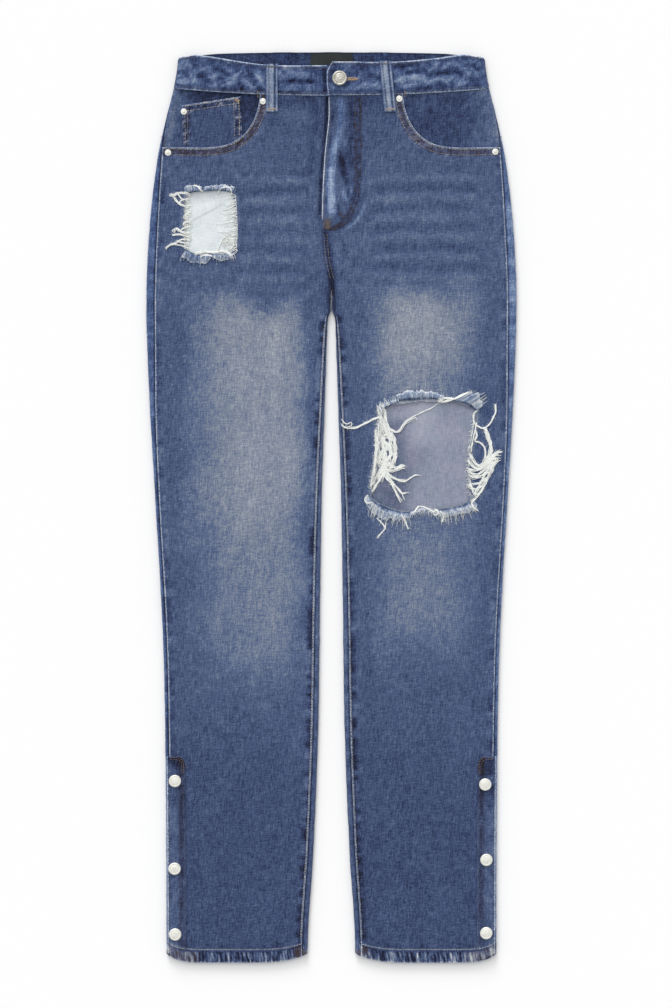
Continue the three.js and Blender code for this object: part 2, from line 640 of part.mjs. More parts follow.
const RIVETS = {
  right_top: [-78, 463.5, FOLD],
  right_side: [-186.5, 405, FOLD],
  coin: [-168.5, 452, COIN_TOP],
  left_top: [77.5, 466.5, FOLD],
  left_side: [187, 406, FOLD],
};
const rivet = ([x, y, z]) => turned(RIVET_PROFILE, 16, x, y, z + GAP);
const SNAP_RADIUS = 7.1;
const SNAP_PROFILE = [
  [0, 0], [SNAP_RADIUS, 0], [SNAP_RADIUS, 1.2], [SNAP_RADIUS - 1.3, 2.3], [3, 2.5], [0, 2.6],
];
const snap = ([x, y]) =>
  turned(SNAP_PROFILE, 20, x, y, placketTop(Math.abs(x) + SNAP_RADIUS, y) + GAP);
const SNAPS = {
  right: [[-178.5, -312], [-178.8, -412], [-178.2, -487]],
  left: [[175.5, -316], [176.8, -402], [176.6, -485.5]],
};

// ---- The garment ----
const finish = (hex, roughness, metalness) =>
  new THREE.MeshStandardMaterial({ color: hex, roughness, metalness });
const DENIM_BLUE = finish(0x41598a, 0.9, 0);
const COTTON_WHITE = finish(0xe6ebe9, 0.9, 0);
const LABEL_BLACK = finish(0x1d1c1c, 0.8, 0);
const METAL = finish(0xdcdad3, 0.35, 0.9);

const jeans = new THREE.Group();
function add(name, geometry, material = DENIM_BLUE) {
  const mesh = new THREE.Mesh(geometry, material);
  mesh.name = name;
  jeans.add(mesh);
}
for (const [name, side] of [["left", 1], ["right", -1]]) {
  const rip = side > 0 ? roundOutline(KNEE_RIP, 48) : roundOutline(HIP_RIP, 32);
  const notch = onSide(VENT_NOTCH, side);
  add(`front_${name}`, cut(frontPanel(side), scoopOutline(side), rip, notch));
  add(`back_${name}`, backPanel(side));
  add(`yoke_${name}`, yoke(side));
  add(`back_pocket_${name}`, backPocket(side));
  add(`pocket_facing_${name}`, pocketFacing(side));
  add(`vent_placket_${name}`, placket(side));
  add(`vent_underlap_${name}`, underlap(side));
  SNAPS[name].forEach((at, i) => add(`snap_${name}_${i + 1}`, snap(at), METAL));
  add(`loop_front_${name}`, frontLoop(FRONT_LOOPS[name]));
}
add("coin_pocket", coinPocket());
add("pocket_bag_right", pocketBag(), COTTON_WHITE);
add("zip_tape", zipTape());
add("waistband", waistband());
add("waist_label", label(), LABEL_BLACK);
["right", "centre", "left"].forEach((name, i) => add(`loop_back_${name}`, backLoop(BACK_LOOPS_X[i])));
add("waist_button", waistButton(), METAL);
Object.entries(RIVETS).forEach(([name, at]) => add(`rivet_${name}`, rivet(at), METAL));

export default jeans;
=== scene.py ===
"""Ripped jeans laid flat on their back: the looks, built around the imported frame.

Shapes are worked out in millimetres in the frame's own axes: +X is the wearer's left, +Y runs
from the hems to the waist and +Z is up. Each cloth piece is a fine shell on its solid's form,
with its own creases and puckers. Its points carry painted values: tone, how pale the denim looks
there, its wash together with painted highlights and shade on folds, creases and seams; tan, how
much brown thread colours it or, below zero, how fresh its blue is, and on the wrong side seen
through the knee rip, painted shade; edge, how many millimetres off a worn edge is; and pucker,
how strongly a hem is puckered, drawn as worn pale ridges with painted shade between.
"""

import math

import bpy
import numpy as np
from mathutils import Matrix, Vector
from mathutils.bvhtree import BVHTree


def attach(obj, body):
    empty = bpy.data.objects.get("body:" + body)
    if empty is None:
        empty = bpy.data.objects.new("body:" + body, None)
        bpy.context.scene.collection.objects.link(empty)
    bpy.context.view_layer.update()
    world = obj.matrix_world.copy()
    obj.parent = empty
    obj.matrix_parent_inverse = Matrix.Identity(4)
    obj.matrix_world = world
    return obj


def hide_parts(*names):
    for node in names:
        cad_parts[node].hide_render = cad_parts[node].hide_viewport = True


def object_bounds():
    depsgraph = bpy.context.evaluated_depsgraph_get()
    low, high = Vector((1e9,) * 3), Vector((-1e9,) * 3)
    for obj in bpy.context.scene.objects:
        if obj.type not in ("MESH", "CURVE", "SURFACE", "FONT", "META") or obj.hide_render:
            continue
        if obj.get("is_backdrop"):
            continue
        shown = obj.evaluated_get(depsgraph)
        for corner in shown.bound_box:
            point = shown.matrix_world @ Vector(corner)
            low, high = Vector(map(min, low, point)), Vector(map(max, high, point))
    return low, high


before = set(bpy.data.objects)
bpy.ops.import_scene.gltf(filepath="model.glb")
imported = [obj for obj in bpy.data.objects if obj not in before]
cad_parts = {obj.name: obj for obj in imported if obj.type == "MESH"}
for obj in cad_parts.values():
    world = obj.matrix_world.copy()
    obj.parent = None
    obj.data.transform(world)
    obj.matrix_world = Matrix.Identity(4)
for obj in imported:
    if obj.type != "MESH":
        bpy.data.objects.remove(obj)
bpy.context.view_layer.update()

MM = 0.001

# ---- Sizes, in millimetres ----
DENIM = 1.2
BAND = 2.6
COTTON = 1.0
GAP = 0.3
FOLD = 6.4
RADIUS = FOLD / 2
QUARTER = RADIUS * math.pi / 2
BAND_FOLD = 7.4
BAND_RADIUS = BAND_FOLD / 2
SAG, SAG_RUN, SAG_TOP, SAG_BLEND, HEM_BLEND = 3.4, 48, 250, 80, 60
HEM_Y, HEM_DROP, HEM_FOLD, HEM_THICK = -509, 11, 15, 2.6
WAIST_Y, WAIST_RISE, BACK_WAIST_Y = 470, 8, 482
CROTCH_Y, CROTCH_POINT_Y = 222, 262
YOKE_Y, YOKE_RISE = 394, 33
VENT_Y = -286
FLY_Y, FLY_RISE, FLY_LAP, SEAM_LAP = 322, 1.6, 18, 7
LOOP_THICK, LOOP_WIDTH = 1.5, 12
BACK_LOOPS_X = {"right": -56, "centre": 0, "left": 56}
PRESS = 9
CLOTH_CREASE, METAL_CREASE = 50, 55
NO_EDGE = 9.0  # the edge value of cloth that is far from any worn edge
FAR = 40  # farther from a seam than its puckers and its wear reach
CUT_LOW, CUT_HIGH = -30, 40
BAND_WIDTH = 37
FRONT_UNDER = FOLD - DENIM - GAP


# ---- Small sums ----
def mix(a, b, t):
    return a + (b - a) * t


def smooth(t):
    c = np.clip(t, 0, 1)
    return c * c * (3 - 2 * c)


def curve(knots):
    """A smooth function through (position, value) knots, level past both ends."""
    at = np.array([k[0] for k in knots], float)
    value = np.array([k[1] for k in knots], float)
    slope = np.zeros(len(at))
    slope[1:-1] = (value[2:] - value[:-2]) / (at[2:] - at[:-2])

    def evaluate(x):
        x = np.clip(np.asarray(x, float), at[0], at[-1])
        i = np.clip(np.searchsorted(at, x, side="right") - 1, 0, len(at) - 2)
        w = at[i + 1] - at[i]
        t = (x - at[i]) / w
        t2, t3 = t * t, t * t * t
        return (
            (2 * t3 - 3 * t2 + 1) * value[i]
            + (t3 - 2 * t2 + t) * w * slope[i]
            + (3 * t2 - 2 * t3) * value[i + 1]
            + (t3 - t2) * w * slope[i + 1]
        )

    return evaluate


def spline(points, step, closed=False):
    """Points about step apart on a smooth line through a few, in two or three dimensions."""
    p = np.array(points, float)
    n = len(p)
    found = []
    for i in range(n if closed else n - 1):
        pick = [p[(i + k) % n] if closed else p[min(max(i + k, 0), n - 1)] for k in (-1, 0, 1, 2)]
        parts = max(2, int(np.linalg.norm(pick[2] - pick[1]) / step))
        for t in np.arange(parts) / parts:
            found.append(
                0.5
                * (
                    2 * pick[1]
                    + (pick[2] - pick[0]) * t
                    + (2 * pick[0] - 5 * pick[1] + 4 * pick[2] - pick[3]) * t**2
                    + (3 * pick[1] - pick[0] - 3 * pick[2] + pick[3]) * t**3
                )
            )
    if not closed:
        found.append(p[-1])
    return np.array(found)


def noise(x, y, size_x, size_y=None, seed=0):
    """Smooth noise from -1 to 1, in hills about size_x by size_y."""
    table = np.random.default_rng(seed).uniform(-1, 1, (64, 64))
    u = np.asarray(x, float) / size_x + 0.37 * seed
    v = np.asarray(y, float) / (size_y or size_x) + 0.71 * seed
    u, v = np.broadcast_arrays(u, v)
    i, j = np.floor(u).astype(int), np.floor(v).astype(int)
    s, t = smooth(u - i), smooth(v - j)

    def at(a, b):
        return table[a % 64, b % 64]

    return mix(mix(at(i, j), at(i + 1, j), s), mix(at(i, j + 1), at(i + 1, j + 1), s), t)


def distance_to(x, y, line):
    """How far each point is from a line of points."""
    x, y = np.broadcast_arrays(np.asarray(x, float), np.asarray(y, float))
    best = np.full(x.shape, 1e9)
    for a, b in zip(line[:-1], line[1:]):
        d = b - a
        t = np.clip(((x - a[0]) * d[0] + (y - a[1]) * d[1]) / max(d @ d, 1e-9), 0, 1)
        best = np.minimum(best, np.hypot(x - a[0] - t * d[0], y - a[1] - t * d[1]))
    return best


def distance_near(x, y, line, reach):
    """The distance to a line, worked out only where it can be under reach."""
    (left, low), (right, high) = line.min(0) - reach, line.max(0) + reach
    close = (x > left) & (x < right) & (y > low) & (y < high)
    d = np.full(np.shape(x), np.inf)
    d[close] = distance_to(x[close], y[close], line)
    return d


def near(x, at, reach):
    """1 at a place, falling smoothly to 0 at reach from it."""
    return smooth(1 - np.abs(x - at) / reach)


def within(at, low, high, ramp):
    """1 from low to high, falling smoothly to 0 over a ramp past either."""
    return smooth((at - low + ramp) / ramp) * smooth((high + ramp - at) / ramp)


# ---- Outlines, as in the CAD source ----
half_width = curve([
    (-506, 188.5), (-300, 189.5), (-150, 192.5), (20, 202), (130, 208.3), (240, 211.6),
    (330, 207), (400, 198.5), (450, 187.5), (480, 180), (513, 175.5),
])
leg_gap = curve([
    (-506, 27), (-391, 20.5), (-254, 15), (-117, 13), (20, 10.8), (123, 7.4), (191, 5.1),
    (CROTCH_Y - 4, 3.6), (CROTCH_Y + 4, GAP / 2),
])
side_inset = curve([
    (-480, 4.5), (-150, 4.5), (20, 4.5), (100, 6), (200, 9.5), (300, 9.5), (370, 7), (430, 2), (455, 0.2),
])
inseam_inset = curve([(-400, 6.5), (-100, 6.2), (60, 4.5), (180, 2.5), (240, 1)])
fly_edge = curve([(240, 0), (262, -3), (285, -8), (330, -10.6), (400, -7.6), (445, -3), (470, -3)])
SCOOP = [
    (81, 482), (82, 466), (85, 452), (91, 438), (101, 425), (117, 415), (140, 411), (168, 411), (214, 412),
]
KNEE_RIP = [
    (60, 112), (78, 118), (105, 121), (135, 120.5), (158, 115), (165, 106), (161, 78), (156.5, 42),
    (158, 12), (145, 2), (116, -3.5), (86, -4.5), (62, 2), (47, 12), (49, 40), (56, 80),
]
HIP_RIP = [
    (-165, 356), (-140, 361.5), (-114, 360), (-110, 336), (-109, 312), (-114, 292), (-140, 289),
    (-164, 294), (-168, 325),
]


def scoop_line(side):
    return spline([(side * x, y) for x, y in SCOOP], 3)


def side_seam(y):
    return half_width(y) - side_inset(y)


def inseam(y):
    return leg_gap(y) + inseam_inset(y)


# ---- Heights ----
def front_height(x, y):
    out = np.abs(x)
    from_gap = np.where(y < CROTCH_Y, out - leg_gap(y), out + (y - CROTCH_Y))
    inside = np.minimum(half_width(y) - out, from_gap)
    along = smooth((SAG_TOP - y) / SAG_BLEND) * smooth((y - HEM_Y - HEM_FOLD) / HEM_BLEND)
    return FOLD - SAG * smooth(inside / SAG_RUN) * along


def fly_rise(x, y):
    return FLY_RISE * smooth((fly_edge(y) + 46 - x) / 16) * smooth((y - FLY_Y) / 16)


def lap_sink(x, y):
    return FLY_RISE * smooth((x - fly_edge(y) + 12) / 9) * smooth((y - CROTCH_POINT_Y) / 8)


def back_rise(x, y):
    loops = [
        within(x, c - LOOP_WIDTH / 2 - 1, c + LOOP_WIDTH / 2 + 1, PRESS) * smooth((y - 450) / PRESS)
        for c in BACK_LOOPS_X.values()
    ]
    pocket = within(np.abs(x), 31, 171, PRESS) * within(y, 235, 365, PRESS)
    return np.maximum((LOOP_THICK + GAP) * np.maximum.reduce(loops), (DENIM + GAP) * pocket)


def across(x, y):
    low, high = leg_gap(y), half_width(y)
    return (np.abs(x) - (low + high) / 2) / ((high - low) / 2)


def hem_shift(x, y):
    a = across(x, y)
    t = np.minimum(1, np.abs(a))
    return -HEM_DROP * (1 - t ** np.where(a > 0, 7, 4)) * smooth((HEM_Y + 66 - y) / 66)


def front_waist_shift(x, y):
    return WAIST_RISE * (x / 178) ** 2 * smooth((y - 425) / 45)


def back_waist_edge(x):
    return BACK_WAIST_Y - 3 * (x / 178) ** 2


def yoke_edge(x):
    return YOKE_Y + YOKE_RISE * np.abs(x) / 200


# ---- Sections across a leg ----
def arc_of(inset):
    low = RADIUS * np.arccos(1 - np.minimum(inset, RADIUS) / RADIUS)
    return np.where(inset < RADIUS, low, RADIUS * (math.pi / 2 - 1) + inset)


def on_fold(edge, turn, y, arc, height_at):
    """Points and outward directions at arc millimetres round a folded edge, from its outermost
    point, towards the front where arc is positive."""
    angle = np.clip(arc / RADIUS, -math.pi / 2, math.pi / 2)
    past = np.maximum(np.abs(arc) - QUARTER, 0)
    x = edge - turn * (RADIUS * (1 - np.cos(angle)) + past)
    x, y = np.broadcast_arrays(x, y)
    flat = np.where(arc > 0, height_at(x, y), back_rise(x, y))
    z = np.where(past > 0, flat, RADIUS + RADIUS * np.sin(angle))
    out = np.stack([turn * np.cos(angle) + 0 * x, 0 * x, np.sin(angle) + 0 * x], -1)
    return np.stack([x, y, z], -1), out


def flat_points(x, y, z, up=1):
    x, y = np.broadcast_arrays(x, y)
    out = np.zeros(x.shape + (3,))
    out[..., 2] = up
    return np.stack([x, y, z + 0 * x], -1), out


def mirrored(points, out):
    flip = np.array([-1, 1, 1])
    return (points * flip)[:, ::-1], (out * flip)[:, ::-1]


def for_side(side, points, out):
    return (points, out) if side > 0 else mirrored(points, out)


def steps(start, stop, step):
    """Evenly spaced values, about a step apart, with both ends."""
    return np.linspace(start, stop, max(2, int(round(abs(stop - start) / step)) + 1))


# Columns get closer towards a seam, so that its worn line and its puckers are sharp.
EDGE_STEPS = np.array([0, 0.5, 1, 1.6, 2.4, 3.4, 4.8, 6.6, 9])


# ---- Meshes ----
def tube_faces(rings, sides):
    """Faces of a tube made of rings of points, closed on the two points that follow the rings."""
    i, j = np.meshgrid(np.arange(rings - 1), np.arange(sides), indexing="ij")
    a, b = i * sides + j, i * sides + (j + 1) % sides
    quads = np.stack([a, b, b + sides, a + sides], -1).reshape(-1, 4)
    k = np.arange(sides)
    after, last = (k + 1) % sides, (rings - 1) * sides
    low = np.stack([np.full(sides, rings * sides), after, k, k], -1)
    high = np.stack([np.full(sides, rings * sides + 1), last + k, last + after, last + after], -1)
    return np.concatenate([quads, low, high])


class Builder:
    """Gathers tubes, turned pieces and grids into one mesh, with a painted value per point."""

    def __init__(self):
        self.points, self.faces, self.kinds, self.tones = [], [], [], []
        self.count = 0

    def add(self, points, faces, kind=0, tone=0.5):
        self.points.append(np.asarray(points, float).reshape(-1, 3))
        self.faces.append(np.asarray(faces, int) + self.count)
        self.kinds.append(np.full(len(faces), kind))
        n = len(self.points[-1])
        self.tones.append(np.broadcast_to(np.asarray(tone, float), (n,)))
        self.count += n

    def tube(self, line, radius, sides=5, kind=0, tone=0.5):
        """A thread along a line of points, closed at both ends by its taper."""
        line = np.asarray(line, float)
        n = len(line)
        radius = np.broadcast_to(np.asarray(radius, float), (n,))
        along = np.gradient(line, axis=0)
        along /= np.maximum(np.linalg.norm(along, axis=1, keepdims=True), 1e-9)
        up = np.tile([0.0, 0.0, 1.0], (n, 1))
        steep = np.abs(along[:, 2]) > 0.95
        up[steep] = [1.0, 0.0, 0.0]
        side = np.cross(up, along)
        side /= np.maximum(np.linalg.norm(side, axis=1, keepdims=True), 1e-9)
        top = np.cross(along, side)
        angle = np.arange(sides) * 2 * math.pi / sides
        ring = side[:, None] * np.cos(angle)[:, None] + top[:, None] * np.sin(angle)[:, None]
        points = line[:, None] + ring * radius[:, None, None]
        points = np.concatenate([points.reshape(-1, 3), line[:1], line[-1:]])
        tones = np.asarray(tone, float)
        if tones.ndim:
            tones = np.concatenate([np.repeat(tones, sides), tones[:1], tones[-1:]])
        self.add(points, tube_faces(n, sides), kind, tones)

    def build(self, name, materials):
        points = np.concatenate(self.points)
        faces = np.concatenate(self.faces)
        # A triangle is written as a four-sided face whose last two corners are the same.
        lists = [f[:3] if f[2] == f[3] else f for f in faces.tolist()]
        mesh = bpy.data.meshes.new(name)
        mesh.from_pydata((points * MM).tolist(), [], lists)
        mesh.polygons.foreach_set("material_index", np.concatenate(self.kinds).astype(np.int32))
        for m in materials:
            mesh.materials.append(m)
        made = bpy.data.objects.new(name, mesh)
        bpy.context.scene.collection.objects.link(made)
        paint(made, "tone", np.concatenate(self.tones))
        mesh.shade_smooth()
        return made


def paint(piece, attribute, values):
    layer = piece.data.attributes.get(attribute)
    layer = layer or piece.data.attributes.new(attribute, "FLOAT", "POINT")
    layer.data.foreach_set("value", np.asarray(values, np.float32))


def positions(piece):
    co = np.empty(len(piece.data.vertices) * 3, np.float32)
    piece.data.vertices.foreach_get("co", co)
    return co.reshape(-1, 3).astype(float) / MM


OUTSIDE, WRONG, RAW = 0, 1, 2


def shell(name, points, out, thick, materials):
    """A closed wall with the grid as its outer face, thick millimetres deep."""
    n, m = points.shape[:2]
    inner = points - out * thick[..., None]
    i, j = np.meshgrid(np.arange(n - 1), np.arange(m - 1), indexing="ij")
    a = (i * m + j).ravel()
    outer = np.stack([a, a + 1, a + m + 1, a + m], -1)
    far = n * m
    lining = np.stack([a, a + m, a + m + 1, a + 1], -1) + far
    r = np.arange(n - 1) * m
    c = np.arange(m - 1)
    top = (n - 1) * m
    rims = [
        np.stack([r, r + m, r + m + far, r + far], -1),
        np.stack([r + m - 1, r + m - 1 + far, r + 2 * m - 1 + far, r + 2 * m - 1], -1),
        np.stack([c, c + far, c + 1 + far, c + 1], -1),
        np.stack([c + top, c + 1 + top, c + 1 + top + far, c + top + far], -1),
    ]
    faces = np.concatenate([outer, lining, *rims])
    kinds = np.concatenate([
        np.full(len(outer), OUTSIDE),
        np.full(len(lining), min(WRONG, len(materials) - 1)),
        np.full(sum(map(len, rims)), OUTSIDE),
    ])
    mesh = bpy.data.meshes.new(name)
    both = np.concatenate([points.reshape(-1, 3), inner.reshape(-1, 3)])
    mesh.from_pydata((both * MM).tolist(), [], faces.tolist())
    mesh.polygons.foreach_set("material_index", kinds.astype(np.int32))
    for made in materials:
        mesh.materials.append(made)
    piece = bpy.data.objects.new(name, mesh)
    bpy.context.scene.collection.objects.link(piece)
    return piece


def cut(piece, *outlines):
    """Takes upright prisms with these outlines out of a shell."""
    for outline in outlines:
        n = len(outline)
        low = np.column_stack([outline, np.full(n, CUT_LOW)])
        high = np.column_stack([outline, np.full(n, CUT_HIGH)])
        x, y = outline.T
        area = 0.5 * np.sum(x * np.roll(y, -1) - np.roll(x, -1) * y)
        ring = list(range(n)) if area > 0 else list(range(n))[::-1]
        sides = [[ring[i], ring[(i + 1) % n], ring[(i + 1) % n] + n, ring[i] + n] for i in range(n)]
        mesh = bpy.data.meshes.new("cutter")
        faces = [ring[::-1], [r + n for r in ring], *sides]
        mesh.from_pydata((np.concatenate([low, high]) * MM).tolist(), [], faces)
        mesh.polygons.foreach_set("material_index", np.full(len(faces), RAW, np.int32))
        for made in piece.data.materials:
            mesh.materials.append(made)
        cutter = bpy.data.objects.new("cutter", mesh)
        bpy.context.scene.collection.objects.link(cutter)
        modifier = piece.modifiers.new("cut", "BOOLEAN")
        modifier.operation = "DIFFERENCE"
        modifier.solver = "MANIFOLD"
        modifier.object = cutter
        depsgraph = bpy.context.evaluated_depsgraph_get()
        made = bpy.data.meshes.new_from_object(piece.evaluated_get(depsgraph))
        piece.modifiers.clear()
        old, piece.data = piece.data, made
        made.name = piece.name
        bpy.data.meshes.remove(old)
        bpy.data.objects.remove(cutter)


def finish_shading(piece, degrees):
    """Smooth, but sharp where two faces meet at more than this angle."""
    piece.data.shade_smooth()
    piece.data.set_sharp_from_angle(angle=math.radians(degrees))


# ---- Wash and painted light: how bright the denim is, as the mean of red, green and blue out of 255 ----
base_tone = curve([(-506, 79), (-300, 83), (-225, 89), (0, 93), (250, 96), (330, 97), (400, 92), (480, 86)])
right_fade = curve([(-180, 0), (-150, 0.42), (-118, 0.9), (-90, 1), (-58, 1), (-38, 0.7), (-20, 0)])
right_fade_up = curve([
    (-262, 0), (-200, 0.22), (-150, 0.58), (-60, 0.74), (0, 0.95), (100, 1), (205, 1.06), (230, 0.74),
    (254, 0),
])
left_fade = curve([(20, 0), (42, 0.28), (62, 0.68), (82, 1), (118, 0.95), (142, 0.72), (162, 0.26), (182, 0)])
left_fade_up = curve([
    (-215, 0), (-175, 0.18), (-148, 0.42), (-110, 0.6), (-40, 0.6), (30, 0.5), (140, 0.78), (185, 1.1),
    (228, 1.08), (252, 0.4), (270, 0),
])
FADE_GAIN = 49
WHISKER_LOW, WHISKER_HIGH, WHISKER_PITCH = 254, 382, 22.2


def whiskers(x, y):
    """The level pale lines across the hips, from -1 to 1."""
    shift = np.where(x < 0, -2.5, 0) + 2 * noise(x, y, 70, 50, 15)
    lines = np.cos(2 * math.pi * (y - 375 - shift) / WHISKER_PITCH)
    left = within(x, 55, 162, 16)
    right = within(x, -98, -32, 14)
    reach = within(y, WHISKER_LOW + 4, WHISKER_HIGH - 4, 8) * np.maximum(left, right)
    return lines * reach * (0.75 + 0.4 * noise(x, y, 28, 20, 16))


# Soft creases: (points, half width, height in millimetres).
CREASES = [
    ([(-92, 2), (-104, -28), (-118, -62)], 6, 0.5),
    ([(-122, -104), (-130, -130), (-137, -164)], 6, 0.5),
    ([(-66, -122), (-80, -168), (-94, -232)], 5, 0.4),
    ([(-28, 446), (-22, 428), (-12, 404)], 2.2, 0.45),
    ([(-60, 453), (-40, 446), (-22, 437)], 1.9, 0.5),
    ([(-64, 440), (-52, 425), (-45, 408)], 2, 0.4),
    ([(52, 440), (66, 432), (80, 430)], 2, 0.3),
    ([(-46, 462), (-36, 450), (-30, 436)], 2.4, 0.4),
    ([(-72, 448), (-62, 432), (-48, 418)], 3, -0.4),
    ([(-104, 398), (-90, 388), (-70, 384)], 4, 0.35),
    ([(-178, 396), (-166, 384), (-150, 376)], 2.4, 0.4),
    ([(-14, 268), (-34, 250), (-60, 240), (-92, 244)], 5, -0.55),
    ([(-10, 252), (-24, 232), (-34, 205)], 4, -0.5),
    ([(12, 262), (30, 238), (40, 205)], 5, -0.5),
    ([(20, 283), (48, 276), (92, 277)], 5, -0.4),
    ([(62, 160), (46, 140), (40, 118)], 6, -0.45),
    ([(168, 140), (178, 118), (182, 90)], 6, -0.4),
    ([(62, -16), (92, -30), (124, -24)], 7, -0.45),
    ([(70, -40), (66, -72), (72, -110)], 5, 0.4),
    ([(128, -30), (124, -60), (130, -95)], 5, 0.4),
    ([(40, -130), (46, -160), (44, -200)], 5, -0.45),
    ([(-172, 270), (-140, 262), (-118, 268)], 5, 0.3),
    ([(-40, -260), (-52, -300), (-48, -350)], 7, 0.35),
    ([(150, -240), (140, -290), (146, -340)], 7, 0.35),
    ([(-150, -380), (-138, -420), (-146, -460)], 7, 0.3),
    ([(60, -400), (70, -440), (62, -480)], 7, 0.3),
]


def creases(x, y):
    total = 0 * x
    for points, width, height in CREASES:
        d = distance_near(x, y, spline(points, 8), 3 * width)
        total = total + height * np.exp(-((d / width) ** 2))
    return total


# The double curve of stitches that holds the fly's facing.
J_PLACES = [(33, 468), (33, 430), (33, 392), (31.5, 362), (27, 343), (17, 326), (4, 318), (-3, 317.5)]
J_CURVE = spline(J_PLACES, 2)
J_INNER = J_CURVE[:-5] + np.array([-5.6, 1.5]) * np.linspace(1, 0.7, len(J_CURVE) - 5)[:, None]

# Places where the wash changes, and where highlights and shadows of folds are painted: (points, half width,
# change in brightness).
FLY_SHADES = [
    ([(11, 464), (11, 445), (8, 424), (3, 405)], 4.2, 24),
    ([(5, 418), (2, 400), (-1, 385)], 4, 20),
    ([(-0.5, 384), (-1, 365), (0, 345), (1, 338)], 5, 54),
    ([(14, 400), (13, 380), (11, 366)], 3.4, -26),
    ([(12, 374), (13, 362), (16, 352)], 2.2, 30),
    ([(20, 366), (24, 358), (26, 350)], 2, 26),
    ([(9, 407), (9.5, 396), (8, 386)], 1.5, -44),
    ([(12, 398), (14, 386), (18, 374)], 3.5, -26),
    ([(22, 462), (23, 435), (22, 405), (24, 388)], 3.8, -27),
    ([(7, 345), (9, 336), (12, 330)], 3, -30),
    ([(18, 372), (20, 360), (22, 350)], 1.4, -34),
    ([(38, 344), (30, 329), (19, 319)], 1.7, 30),
    ([(33, 352), (28, 336), (15, 322), (0, 316)], 3.4, -16),
    # Painted shadows: beside the fly's edge, under the waistband and down the crotch.
    ([(-5, 468), (-6, 431), (-9.5, 402), (-12, 385), (-13, 346), (-12, 330)], 1.6, -54),
    ([(-26, 466), (-48, 462), (-72, 466)], 5, -16),
    ([(-17, 462), (-19, 440), (-22, 410), (-23, 385)], 5, -14),
    ([(30, 464), (44, 462), (56, 464)], 5, -12),
    ([(-7, 316), (-4, 292), (-1, 272), (1, 256), (0, 240), (0, 225)], 4.2, -42),
    ([(0, 264), (1, 242), (2, 222)], 9, -20),
    ([(6, 296), (7, 272), (10, 250)], 4, 12),
]
# On the waistband: painted highlights and shade of its wrinkles.
BAND_SHADES = [
    ([(-112, 490), (-104, 497)], 1.5, 34), ([(-100, 489), (-95, 484), (-89, 479)], 2.2, 30),
    ([(-122, 482), (-110, 488)], 2, 26), ([(-86, 494), (-80, 487)], 1.6, 30),
    ([(-165, 508), (-160, 503)], 1.6, 26), ([(-156, 498), (-144, 501)], 2, 20),
    ([(-142, 490), (-128, 494)], 2.2, 22), ([(-56, 494), (-28, 494)], 3.5, 13),
    ([(-53, 500), (-44, 498)], 2.5, 18), ([(-173, 485), (-156, 487)], 3, 20),
    ([(-48, 486.5), (-22, 485.5)], 2.8, -40), ([(-105, 483), (-102, 477)], 2, -34),
    ([(-130, 500), (-117, 494)], 2.6, -24), ([(-151, 493), (-137, 485)], 2.4, -26),
    ([(-124, 476), (-110, 477)], 2.5, -22), ([(-96, 498), (-90, 492)], 2, -26),
    ([(-170, 497), (-164, 492)], 2, -22), ([(-60, 474), (-36, 473)], 2, -20),
    ([(-88, 482), (-78, 476)], 2.4, -22), ([(-8, 500), (-8, 476)], 2, -30),
    ([(30, 478), (38, 483), (50, 480)], 2.5, 20), ([(4, 479), (14, 475), (26, 476)], 2.5, 16),
    ([(76, 487), (92, 492), (106, 489)], 3.5, 32), ([(82, 480), (96, 483)], 2.4, 24),
    ([(108, 484), (121, 489)], 2.2, 28), ([(112, 499), (122, 506)], 2.2, 24),
    ([(128, 502), (137, 508), (146, 504)], 2, 26), ([(132, 486), (140, 492)], 2, 24),
    ([(152, 500), (160, 492)], 2, 26), ([(146, 483), (156, 486)], 2.2, 22), ([(84, 500), (96, 503)], 2, 14),
    ([(86, 496), (108, 498)], 2.6, -26), ([(122, 495), (134, 496)], 2.4, -32),
    ([(112, 492), (116, 498)], 1.8, -26), ([(140, 498), (148, 494)], 2, -30),
    ([(100, 478), (118, 480)], 2.2, -24), ([(44, 493), (54, 490)], 2.4, -20),
    ([(122, 484), (131, 481)], 2, -24), ([(160, 506), (168, 498)], 2.2, -24),
    ([(28, 496), (36, 501)], 2.4, -16), ([(72, 503), (100, 505)], 2.4, -22),
]


def strokes(x, y, shades):
    """The sum of soft lines, each (points, half width, change)."""
    total = 0 * x
    for points, width, change in shades:
        d = distance_near(x, y, spline(points, 5), 2.6 * width)
        total = total + change * np.exp(-((d / width) ** 2))
    return total


def crumple(x, y, seed, size=1.0):
    """Sharp ridges in two directions, from about -0.6 to 1.4."""
    total = -0.6 + 0 * x
    for k, turn in enumerate((35, -50, 8)):
        c, s = math.cos(math.radians(turn)), math.sin(math.radians(turn))
        field = noise(c * x + s * y, c * y - s * x, 13 * size, 5.5 * size, seed + k)
        total = total + np.clip(1 - 3.6 * np.abs(field), 0, 1) ** 1.3
    return total


